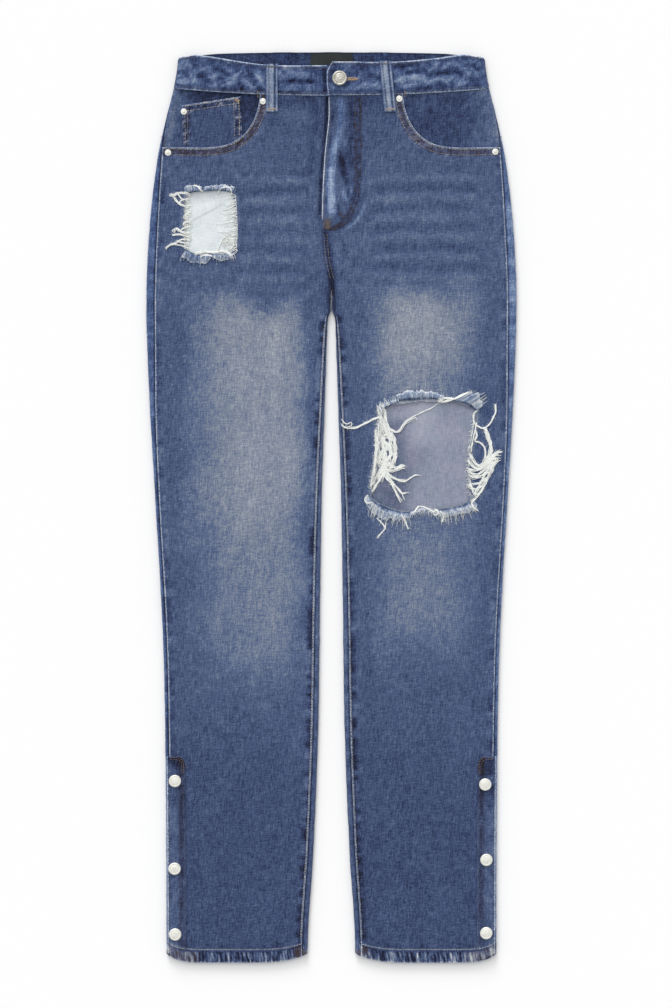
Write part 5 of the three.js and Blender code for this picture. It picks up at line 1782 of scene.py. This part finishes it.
# Knee: places that the torn weft runs through, with how many threads and how far they spread.
KNEE_HANKS = [
    ([(12, 97), (14, 93), (21, 91), (28, 91.5), (38, 96), (48, 101), (55, 103), (60, 99), (63, 92)], 6, 1.2),
    ([(11.5, 101), (14, 97), (18, 95), (22, 97), (23, 94), (19, 92)], 2, 0.8),
    (
        [
            (56, 117), (58, 113), (61, 109), (62, 101), (65, 92), (71, 87),
            (77, 87), (81, 92), (86, 98), (93, 101),
        ],
        7, 1.5,
    ),
    ([(86, 98), (93, 101), (96, 103), (97, 100.5), (94, 100)], 2, 0.4),
    ([(84, 98), (94, 104), (104, 109), (115, 114), (124, 121.5)], 2, 0.35),
    ([(55, 118), (57, 108), (59, 96), (64, 86), (68, 76), (69, 64), (66, 52), (62, 42)], 9, 3.4),
    ([(57, 104), (60, 92), (70, 82), (73, 70), (73, 58), (69, 48), (60, 44)], 8, 2.4),
    ([(54, 100), (56, 84), (59, 70), (60, 56), (58, 42), (53, 28)], 9, 4.2),
    ([(70, 66), (62, 66), (61, 56), (68, 50), (73, 56), (71, 64)], 4, 1.4),
    ([(52, 92), (52, 76), (51, 58), (49, 40), (47, 22)], 9, 2.6),
    ([(56, 100), (63, 90), (62, 80), (55, 72), (57, 60), (66, 56)], 7, 2.2),
    ([(60, 92), (67, 82), (66, 72), (58, 64), (54, 52), (60, 44)], 7, 2.4),
    ([(53, 84), (58, 76), (65, 70), (67, 60), (60, 50), (54, 40), (50, 30)], 8, 2.6),
    ([(55, 60), (60, 52), (68, 48), (66, 42), (58, 40), (52, 34)], 6, 2.2),
    ([(60, 60), (66, 50), (74, 45), (80, 48), (85, 45)], 6, 1.9),
    ([(57, 48), (64, 42), (72, 42), (79, 45), (84, 47)], 6, 1.6),
    ([(56, 50), (64, 40), (74, 32), (84, 30), (92, 35), (97, 37), (103, 35.5)], 3, 0.9),
    ([(58, 42), (68, 35), (78, 31), (87, 30)], 5, 1.7),
    ([(56, 44), (62, 35), (69, 27), (74, 17), (80, 6)], 6, 1.3),
    ([(60, 40), (69, 30), (77, 20), (81, 16), (88, 17.5)], 3, 0.8),
    ([(66, 26), (73, 25), (79, 19), (82, 12), (84, 8)], 2, 0.7),
    ([(60, 40), (55, 32), (50, 24), (46, 17)], 7, 1.6),
    ([(123, 121.5), (128, 124.5), (134, 125), (140, 124), (150, 128.5), (159, 133)], 6, 0.9),
    ([(122, 123.5), (127, 121), (133, 122), (139, 125.5)], 6, 1.5),
    (
        [
            (168, 111), (164, 108), (163, 100), (167, 93.5), (174, 91), (180, 95),
            (184, 102), (187, 110), (186, 119),
        ],
        7, 1.5,
    ),
    ([(165, 98), (163, 88), (161, 78), (159, 68), (157, 61)], 5, 1.9),
    ([(174, 92), (177, 84), (181, 74), (181, 64), (176, 54), (169, 48)], 9, 2.8),
    ([(178, 82), (182, 72), (183, 62), (179, 52), (172, 44)], 7, 2.4),
    ([(186, 60), (182, 50), (176, 38), (170, 26), (163, 12)], 7, 2.2),
    ([(190, 56), (184, 46), (178, 36)], 5, 2.2),
    ([(164, 90), (166, 82), (164, 76), (170, 74), (175, 68), (176, 58), (172, 50)], 4, 1.1),
    ([(158, 63), (161, 56), (165, 50), (171, 48), (180, 55), (188, 62), (195, 65)], 6, 1.5),
    ([(156, 56), (161, 48), (168, 45), (178, 52), (187, 60), (194, 61)], 6, 1.7),
    ([(156, 46), (162, 43), (170, 44), (180, 52), (190, 58), (194, 57)], 5, 1.6),
    ([(155, 45), (160, 39), (168, 38), (178, 46), (188, 53), (193, 55)], 5, 1.5),
    ([(156, 36), (163, 34), (172, 36), (181, 44), (189, 53)], 5, 1.6),
    ([(155, 26), (162, 27), (171, 29), (179, 36), (186, 46)], 4, 1.3),
    ([(155, 26), (160, 22), (167, 21), (175, 28), (182, 38)], 4, 1.4),
    ([(157, 33), (162, 18), (167, 15), (173, 22), (179, 32)], 4, 1.3),
    ([(159, 6), (164, 10), (170, 17), (175, 26)], 6, 1.5), ([(42, 14), (38, 9), (41, 5), (46, 6)], 3, 0.7),
    ([(52, -12), (58, -18), (61, -24), (57, -29), (52, -35)], 2, 0.6),
    ([(66, -10), (62, -18), (62, -25)], 2, 0.6), ([(80, -8), (84, -15), (88, -25)], 3, 0.8),
    ([(94, -6), (99, 0.5), (105, 1), (112, -2), (117, -4)], 6, 1.1),
    ([(117, -2), (121, -3), (122, -7), (118, -9), (116, -5), (119, -3)], 4, 0.9),
    ([(124, -4), (128, -10), (126, -17)], 3, 0.9), ([(160, 5), (164, -1), (168, -4)], 3, 0.8),
]
HIP_HANKS = [
    ([(-160, 356), (-168, 359), (-176, 358), (-180, 356.5), (-185, 356.5)], 6, 1.2),
    ([(-162, 353), (-169, 351), (-174, 356), (-178, 359)], 4, 1.0),
    ([(-162, 343), (-169, 344.5), (-175, 348), (-180, 355)], 5, 1.1),
    ([(-163, 348), (-167, 352), (-172, 350), (-175, 346)], 3, 1.0),
    ([(-160, 338), (-165, 336), (-168, 331), (-163, 329)], 4, 1.2),
    ([(-160, 326), (-166, 326.5), (-169, 323), (-165, 321)], 4, 1.2),
    ([(-160, 321), (-167, 320), (-172, 317)], 3, 0.8),
    ([(-162, 312), (-170, 314), (-177, 318), (-181, 314)], 5, 1.3),
    ([(-160, 309), (-168, 310.5), (-175, 312), (-182, 311)], 4, 0.9),
    ([(-160, 305), (-170, 306), (-178, 302), (-184, 300), (-190, 295)], 5, 1.0),
    ([(-163, 296), (-172, 299), (-180, 300.5), (-184, 299)], 4, 0.7),
    ([(-162, 301), (-170, 302), (-177, 304)], 4, 0.9),
    ([(-157, 368), (-152, 366), (-149, 362), (-146, 360)], 3, 0.5),
    ([(-129, 357), (-129, 361), (-124, 365), (-117, 365), (-114, 361), (-114, 355)], 3, 0.5),
    ([(-156, 289), (-146, 292), (-135, 291), (-124, 292.5), (-113, 288)], 6, 1.1),
    ([(-131, 291), (-128, 299), (-123, 308), (-116, 312)], 3, 0.8),
    ([(-121, 297), (-122, 303), (-117, 307), (-112, 303), (-114, 297), (-119, 296)], 5, 1.3),
    ([(-119, 300), (-116, 303), (-114, 301), (-116, 299)], 3, 0.8),
    ([(-150, 287), (-141, 288), (-131, 285)], 3, 0.8),
]


# Short threads along each rip's edges: base, tips, spacing, tone, radius and mess.
KNEE_FRINGES = [
    (
        [(46, 20), (50, 45), (55, 80), (57, 112)], [(42, 22), (46, 46), (50, 82), (52, 114)],
        0.9, 0.62, 0.28, 0.9,
    ),
    ([(57, 112), (66, 117), (77, 121)], [(52, 117), (61, 124), (76, 129)], 0.6, 0.5, 0.28, 0.9),
    ([(77, 124), (100, 126), (127, 124)], [(76, 131), (101, 134.5), (128, 131)], 1.8, 0.3, 0.28, 0.9),
    ([(140, 123), (155, 120), (166, 113)], [(158, 133), (174, 130), (177, 121)], 0.9, 0.5, 0.28, 0.9),
    (
        [(45, 8), (60, -4), (76, -9), (90, -10)], [(41, -5), (54, -19), (76, -22), (91, -22)],
        0.8, 0.55, 0.28, 1.4,
    ),
    ([(90, -8), (104, -4), (121, -7)], [(92, -14), (104, -9), (122, -14)], 1.1, 0.5, 0.28, 0.9),
    ([(122, -6), (140, -5), (162, 3)], [(122, -18), (142, -17), (167, -7)], 0.75, 0.62, 0.28, 1.4),
    (
        [(163, 8), (158, 20), (158, 50), (162, 90), (165, 108)],
        [(160, 8), (154, 22), (154, 50), (158, 90), (161, 106)],
        1.2, 0.75, 0.28, 0.9,
    ),
]
HIP_FRINGES = [
    ([(-108, 291), (-107, 320), (-109, 356)], [(-121, 288), (-124, 318), (-121, 352)], 1.0, 1.1, 0.3, 3),
    ([(-168, 296), (-168, 325), (-165, 355)], [(-160, 296), (-160, 325), (-159, 353)], 1.1, 1.1, 0.28, 2),
    ([(-167, 359), (-156, 361), (-148, 361)], [(-168, 367), (-158, 369), (-149, 366)], 0.9, 0.3, 0.28, 0.9),
    ([(-145, 361), (-130, 362), (-111, 359)], [(-144, 367), (-130, 369), (-110, 367)], 1.0, 0.3, 0.28, 0.9),
    ([(-167, 292), (-154, 287), (-139, 287)], [(-171, 282), (-155, 275), (-140, 279)], 0.75, 0.35, 0.28, 0.9),
    ([(-136, 288), (-124, 288), (-111, 289)], [(-134, 280), (-124, 280), (-110, 282)], 0.8, 0.4, 0.28, 0.9),
]


def joined(name, made, materials=None):
    piece = made.build(name, materials or [TAN_THREAD, BROWN_THREAD, WHITE_THREAD, CREAM_THREAD])
    pieces[name] = piece
    return piece


frays = Builder()
for k, (points, count, spread) in enumerate(KNEE_HANKS):
    hank(frays, points, max(2, round(1.2 * count)), 1.05 * spread, 0.42, 0.88, 7 * k)
for seed, row in enumerate(KNEE_FRINGES, 1):
    base, tips, *look = row
    fringe(frays, base, tips, seed, *look)
for k, (points, count, spread) in enumerate(KNEE_HANKS):
    fuzz(frays, points, 5 * count, spread * 1.6, 3.4, k)
fuzz(frays, [(55, 112), (54, 90), (51, 66), (50, 44), (47, 22)], 260, 5, 4, 90)
joined("knee_frays", frays)
frays = Builder()
for k, (points, count, spread) in enumerate(HIP_HANKS):
    hank(frays, points, round(1.4 * count), 1.2 * spread, 0.38, 0.9, 400 + 7 * k)
for seed, row in enumerate(HIP_FRINGES, 11):
    base, tips, *look = row
    fringe(frays, base, tips, seed, *look)
for k, (points, count, spread) in enumerate(HIP_HANKS):
    fuzz(frays, points, 7 * count, spread * 1.4, 2.8, 100 + k)
joined("hip_frays", frays)

# ---- Rows of stitches ----
FRONT_SURFACE = Surface(
    "front_left", "front_right", "pocket_facing_left", "pocket_facing_right", "coin_pocket", "waistband",
    "vent_placket_left", "vent_placket_right", "loop_front_right", "loop_front_left",
)
PANEL_SURFACE = Surface("front_left", "front_right")
thread = Builder()
for side in (1, -1):
    xs = steps(inseam(HEM_Y) + 1.5, half_width(HEM_Y) - PLACKET_INSET - 1, 4)
    ys = np.full(len(xs), HEM_Y + HEM_FOLD - 1.0)
    sew(thread, np.column_stack([side * xs, ys + hem_shift(xs, ys)]), FRONT_SURFACE, CREAM, 0.45)
    # The scoops have a row close to the edge and one a finger's width off.
    edge = scoop_line(side)
    edge = edge[(edge[:, 1] < WAIST_Y - 1) & (np.abs(edge[:, 0]) < 196)]
    for off, kind, tone in ((1.9, CREAM, 0.45), (8.6, CREAM, 0.2)):
        row = beside(edge, -side * off)
        keep = (np.abs(row[:, 0]) < side_seam(row[:, 1]) - 1) & (row[:, 1] < waist_seam(row[:, 0]) - 1)
        sew(thread, row[keep], PANEL_SURFACE, kind, tone)
    # Vents: two rows along the inner edge of the placket, one across its top and one by the front edge.
    ys = steps(VENT_Y - 4, HEM_Y + 5, 4)
    for inset, tone in ((PLACKET_INSET + 2, 0.2), (PLACKET_EDGE - 7.2, 0.2), (PLACKET_EDGE - 2, 0.3)):
        sew(thread, np.column_stack([side * (half_width(ys) - inset), ys]), FRONT_SURFACE, BROWN, tone)
    x, y = half_width(VENT_Y) - PLACKET_EDGE, VENT_Y + PLACKET_LIFT
    turn = np.linspace(math.pi, math.pi / 2, 9)
    for off, tone in ((1.3, 0.3), (3.7, 0.1)):
        r = CORNER - off
        arc = np.column_stack([x + CORNER + r * np.cos(turn), y - CORNER + r * np.sin(turn)])
        row = np.vstack([[(x + off, y - 20)], arc, [(x + PLACKET_WIDTH - 3, y - off)]])
        sew(thread, row * (side, 1), FRONT_SURFACE, TAN, tone)
# The inseams are top-stitched.
ys = steps(CROTCH_Y - 14, HEM_Y + HEM_FOLD + 2, 4)
sew(thread, np.column_stack([-(inseam(ys) + 1.8), ys]), PANEL_SURFACE, CREAM, 0.6)
sew(thread, np.column_stack([inseam(ys) + 1.8, ys]), PANEL_SURFACE, CREAM, 0.3)
# The fly: a row by its edge and the double curve of its facing.
ys = steps(466, FLY_Y + 8, 4)
sew(thread, np.column_stack([fly_edge(ys) + 2.2, ys]), PANEL_SURFACE, BROWN, 0.55)
for line in (J_CURVE, J_INNER):
    sew(thread, line, PANEL_SURFACE, BROWN, 0.25, radius=0.33)
bartack(thread, (-5.4, 329), (-3.6, 318), PANEL_SURFACE, 6.6, BROWN, 0.75)
bartack(thread, (14, 330), (9, 337), PANEL_SURFACE, 2.2, BROWN, 0.4)
ys = steps(CROTCH_POINT_Y, 313, 4)
for off in (1.6, 5.2):
    sew(thread, np.column_stack([fly_edge(ys) + off, ys]), PANEL_SURFACE, CREAM, 0.05)
# The coin pocket's top and sides.
COIN_TOP_LINE = np.array([(-168, 459.6), (-105, 469)])
for off, kind, tone in ((-1.6, CREAM, 0.5), (-7.2, CREAM, 0.35)):
    sew(thread, COIN_TOP_LINE + (0, off), FRONT_SURFACE, kind, tone)
for x, low, tone in ((-167.5, 413, 0.3), (-164.6, 413, 0.1), (-105.8, 424, 0.55), (-111.6, 420, 0.35)):
    sew(thread, np.array([(x, 456.4 + 0.15 * (x + 170)), (x + 1, low)]), FRONT_SURFACE, CREAM, tone)
bartack(thread, (-110.5, 466.9), (-105.4, 463.4), FRONT_SURFACE, 4.5, TAN, 0.75)
# Waistband: a row above the seam and one under each top edge, and across the lapped end.
for low, high, top in ((-172, -7, right_top_edge), (-3, 172, left_top_edge)):
    xs = steps(low, high, 4)
    sew(thread, np.column_stack([xs, top(xs) - 2.8]), FRONT_SURFACE, BROWN, 0.3)
    sew(thread, np.column_stack([xs, waist_seam(xs) + 2.6]), FRONT_SURFACE, BROWN, 0.3)
ys = steps(506, 473, 3)
sew(thread, np.column_stack([end_lean(0 * ys - 5, ys) - 2.6, ys]), FRONT_SURFACE, BROWN, 0.8)
# Belt loops: two dark rows each, and a bartack where they are folded.
for top_x, low_x, top_y in ((-68, -68, 504), (61, 67, 507)):
    for off in (-3.3, 3.3):
        sew(thread, np.array([(top_x + off, top_y), (low_x + off, 455)]), FRONT_SURFACE, BROWN, 0.1)
    bartack(thread, (low_x - 5, 454.6), (low_x + 5, 454.6), FRONT_SURFACE, 2.4, TAN, 0.8)
    bartack(thread, (top_x - 5, top_y - 1), (top_x + 5, top_y - 1), FRONT_SURFACE, 1.8, BROWN, 0.8)
# Ends of the scoops.
for side in (1, -1):
    bartack(thread, (side * 84, 469), (side * 84, 475), FRONT_SURFACE, 2, TAN, 0.6)
# The buttonhole: a close ring of stitches with a slit.
ring = [(18.5, 489.3), (23, 489.6), (28, 489.4), (30.3, 488.5), (28, 487.8), (23, 487.5), (18.5, 487.8)]
ring_line = spline(ring, 0.45)
sides = [beside(ring_line, 1.0), beside(ring_line, -1.1)]
zigzag = np.array([sides[i % 2][i] for i in range(len(ring_line))])
COPPER_TONE = 1.0
laid = np.column_stack([zigzag, FRONT_SURFACE.along(zigzag) + 0.2])
loops = resample(laid, 3 * len(laid))
thread.tube(loops, 0.26, 5, TAN, COPPER_TONE - 0.3 * np.abs(noise(np.arange(len(loops)), 0, 9, 1, 107)))
joined("front_stitches", thread)

REAR_SURFACE = Surface(
    "back_left", "back_right", "yoke_left", "yoke_right", "back_pocket_left", "back_pocket_right",
    "waistband", "loop_back_left", "loop_back_centre", "loop_back_right", below=True,
)
thread = Builder()
for side in (1, -1):
    # Hem, yoke seam and inseam.
    xs = steps(inseam(HEM_Y) - 4, side_seam(HEM_Y) + 2, 4)
    row = np.column_stack([side * xs, HEM_Y + HEM_FOLD - 1 + hem_shift(xs, HEM_Y + 0 * xs)])
    sew(thread, row, REAR_SURFACE, BROWN, 0.7)
    xs = steps(2, 196, 4)
    for off in (-2.2, -7.5):
        sew(thread, np.column_stack([side * xs, yoke_edge(xs) + off]), REAR_SURFACE, BROWN, 0.8)
    # The patch pocket: two rows round its sides and bottom, and two across its hem.
    for off, tone in ((2, 0.85), (8, 0.8)):
        ys = steps(pocket_top(40) - 1, POCKET_SIDE + off * 0.3, 4)
        inner = np.column_stack([pocket_side(0 * ys, ys) + off, ys])
        outer = np.column_stack([pocket_side(200 + 0 * ys, ys) - off, ys])[::-1]
        corners = np.array([((POCKET_INNER + POCKET_OUTER) / 2, POCKET_TIP + off * 1.05)])
        row = resample(np.vstack([inner, corners, outer]), 90)
        sew(thread, row * (side, 1), REAR_SURFACE, BROWN, tone)
        xs = np.array([POCKET_INNER + 1.5, POCKET_OUTER - 1.5])
        sew(thread, np.column_stack([side * xs, pocket_top(xs) - off * 2]), REAR_SURFACE, BROWN, tone)
    for x in (POCKET_INNER + 4, POCKET_OUTER - 4):
        top = pocket_top(x)
        bartack(thread, (side * x, top - 2), (side * x, top - 12), REAR_SURFACE, 2, TAN, 0.7, 0.2)
# The centre back seam, and the waistband.
for x in (2.2, 7.8):
    sew(thread, np.array([(x, CROTCH_Y + 12), (x, YOKE_Y - 4)]), REAR_SURFACE, BROWN, 0.8)
    sew(thread, np.array([(x, YOKE_Y + 6), (x, 458)]), REAR_SURFACE, BROWN, 0.8)
xs = steps(-168, 168, 4)
sew(thread, np.column_stack([xs, back_waist_edge(xs) + 3]), REAR_SURFACE, BROWN, 0.75)
sew(thread, np.column_stack([xs, back_top_edge(xs) - 3]), REAR_SURFACE, BROWN, 0.75)
for x in BACK_LOOPS_X.values():
    for off in (-3.1, 3.1):
        sew(thread, np.array([(x + off, 516), (x + off, 464)]), REAR_SURFACE, BROWN, 0.3)
    for y in (465, 515):
        bartack(thread, (x - 4.6, y), (x + 4.6, y), REAR_SURFACE, 2.2, TAN, 0.7, 0.2)
joined("rear_stitches", thread)


# ---- Worn folded edges: a soft roll along each ----
ROLL_SINK = 0.5
rolls = Builder()


def edge_roll(line, surface, radius, tone):
    line = np.asarray(line, float)
    path = resample(line, max(4, int(lengths(line)[-1] / 2)))
    z = surface.along(path)
    z = np.maximum(z, np.max(z) - 3) - ROLL_SINK
    k = np.arange(len(path))
    shade = tone + 16 * noise(k, 0, 2.3, 1, len(path)) + 10 * noise(k, 1, 6, 1, 3)
    thick = radius * (1 + 0.12 * noise(k, 0, 3, 1, 9))
    rolls.tube(np.column_stack([path, z]), thick, 6, 0, shade / 255)


for side in (1, -1):
    edge = scoop_line(side)
    edge = edge[(edge[:, 1] < WAIST_Y + 1) & (np.abs(edge[:, 0]) < 197)]
    edge_roll(beside(edge, -side * 0.5), PANEL_SURFACE, 0.5, 168)
ys = steps(468, FLY_Y + 6, 3)
edge_roll(np.column_stack([fly_edge(ys) + 0.4, ys]), PANEL_SURFACE, 0.55, 216)
# The waistband's lower edge is chafed beside the fly and over both pockets.
for low, high, shade in ((-172, -76, 150), (-60, -8, 165), (76, 172, 190)):
    xs = steps(low, high, 4)
    edge_roll(np.column_stack([xs, waist_seam(xs) + 0.4]), Surface("waistband"), 0.42, shade)
edge_roll([(-169, 459.2), (-105, 468.8)], Surface("coin_pocket"), 0.5, 150)
piece = joined("rolled_edges", rolls, [DENIM_OUT])
paint(piece, "tan", np.full(len(piece.data.vertices), -0.4))
paint(piece, "edge", np.full(len(piece.data.vertices), NO_EDGE))


# ---- Metal ----
TURNED_SIDES = 48


def turned(b, profile, x, y, z):
    """A piece turned about a vertical axis: radius and height pairs, from the axis to the axis."""
    profile = np.array(profile, float)
    outline = profile[profile[:, 0] > 0]
    angle = np.arange(TURNED_SIDES) * 2 * math.pi / TURNED_SIDES
    rings = np.stack([
        x + outline[:, :1] * np.cos(angle),
        y + outline[:, :1] * np.sin(angle),
        z + outline[:, 1:] + 0 * angle,
    ], -1)
    ends = [(x, y, z + profile[0, 1]), (x, y, z + profile[-1, 1])]
    points = np.concatenate([rings.reshape(-1, 3), ends])
    b.add(points, tube_faces(len(outline), TURNED_SIDES), 0, 0.5)


def arc_profile(radius, low, rise, count=7):
    """Points of a shallow dome from its rim in to the axis."""
    t = np.linspace(0, 1, count)
    return [(radius * math.cos(a * math.pi / 2), low + rise * math.sin(a * math.pi / 2)) for a in t]


SNAPS = {
    "right": [(-178.5, -312), (-178.8, -412), (-178.2, -487)],
    "left": [(175.5, -316), (176.8, -402), (176.6, -485.5)],
}
SNAP_PROFILE = [
    (0, 0), (6.2, 0), (6.9, 0.25), (7.1, 0.7), (7.05, 1.3), (6.8, 1.8), (6.3, 2.15), (5.7, 2.3), (5.2, 2.2),
    (4.9, 2.12), (4.6, 2.2), (4.2, 2.32), (3.0, 2.45), (1.5, 2.52), (0, 2.55),
]
RIVET_PROFILE = [
    (0, 0), (3.1, 0), (3.6, 0.2), (3.65, 0.6), (3.4, 0.95), (2.9, 1.1), (2.3, 1.05), (1.9, 1.0), (1.75, 1.3),
    *arc_profile(1.6, 1.4, 0.5, 5)[:-1], (0, 1.9),
]
BUTTON_PROFILE = [
    (0, 0), (3.2, 0), (3.2, 1.9), (7.6, 2.1), (8.3, 2.5), (8.5, 3.1), (8.45, 3.7), (8.1, 4.3), (7.5, 4.65),
    (6.9, 4.7), (6.4, 4.5), (6.1, 4.0), (5.8, 3.8), (5.3, 3.85), (5.0, 4.15), (4.6, 4.4), (4.1, 4.45),
    (3.8, 4.3), (3.5, 4.3), (3.1, 4.5), (2.2, 4.62), (1.0, 4.6), (0.6, 4.5), (0, 4.5),
]


def metal_piece(name, profile, x, y, z):
    made = Builder()
    turned(made, profile, x, y, z)
    piece = made.build(f"{name}_metal", [BUTTON_METAL if name == "waist_button" else CAP_METAL])
    finish_shading(piece, METAL_CREASE)
    pieces[name] = piece


for name, places in SNAPS.items():
    for k, (x, y) in enumerate(places):
        z = placket_top(np.array(abs(x) + 7.1), np.array(float(y))) + GAP
        metal_piece(f"snap_{name}_{k + 1}", SNAP_PROFILE, x, y, float(z) - 0.2)
RIVETS = {
    "rivet_right_top": (-78, 463.5, FOLD), "rivet_right_side": (-186.5, 405, FOLD),
    "rivet_coin": (-168.5, 452, FRONT_UNDER), "rivet_left_top": (77.5, 466.5, FOLD),
    "rivet_left_side": (187, 406, FOLD),
}
for name, (x, y, z) in RIVETS.items():
    metal_piece(name, RIVET_PROFILE, x, y, z + GAP - 0.1)
metal_piece("waist_button", BUTTON_PROFILE, 9.3, 489, float(left_end_height(9.3)) + GAP)


# ---- Camera, light and floor ----
EYE = (0.00525, 0.0040, 3.2025)
WORLD_LIGHT, LOW_SUN, HIGH_SUN = 0.62, 1.6, 0.75
FLOOR_HALF, FLOOR_Z = 6, -0.0004
FLOOR_WHITE = (0.965, 0.965, 0.965, 1)


def studio():
    scene = bpy.context.scene
    scene.view_settings.view_transform = "Standard"
    scene.view_settings.look = "None"
    camera = bpy.data.cameras.new("camera")
    camera.lens = 100
    camera.sensor_width = 36
    camera.clip_start, camera.clip_end = 0.1, 20
    eye = bpy.data.objects.new("camera", camera)
    eye.location = EYE
    scene.collection.objects.link(eye)
    scene.camera = eye
    world = bpy.data.worlds.new("studio")
    world.use_nodes = True
    world.node_tree.nodes["Background"].inputs["Color"].default_value = (1, 1, 1, 1)
    world.node_tree.nodes["Background"].inputs["Strength"].default_value = WORLD_LIGHT
    scene.world = world

    def sun(name, azimuth, height, spread, power):
        """A soft far light from this compass direction (0 is +Y) and height above the floor."""
        light = bpy.data.lights.new(name, "SUN")
        light.angle, light.energy = math.radians(spread), power
        made = bpy.data.objects.new(name, light)
        a, h = math.radians(azimuth), math.radians(height)
        towards = Vector((math.sin(a) * math.cos(h), math.cos(a) * math.cos(h), math.sin(h)))
        made.rotation_euler = (-towards).to_track_quat("-Z", "Y").to_euler()
        scene.collection.objects.link(made)

    sun("low_sun", -12, 24, 26, LOW_SUN)
    sun("high_sun", -20, 58, 50, HIGH_SUN)
    mesh = bpy.data.meshes.new("floor")
    corners = [(-1, -1), (1, -1), (1, 1), (-1, 1)]
    mesh.from_pydata([(a * FLOOR_HALF, b * FLOOR_HALF, FLOOR_Z) for a, b in corners], [], [(0, 1, 2, 3)])
    floor = bpy.data.objects.new("floor", mesh)
    n = Nodes("floor")
    white = n.finish(Base_Color=FLOOR_WHITE, Roughness=1.0, Specular_IOR_Level=0.0)
    mesh.materials.append(white)
    scene.collection.objects.link(floor)
    floor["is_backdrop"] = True


studio()

# ---- Attach the pieces to the root and hide the CAD parts they stand in for ----
for name, piece in pieces.items():
    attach(piece, "root")
    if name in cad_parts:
        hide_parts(name)
low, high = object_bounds()
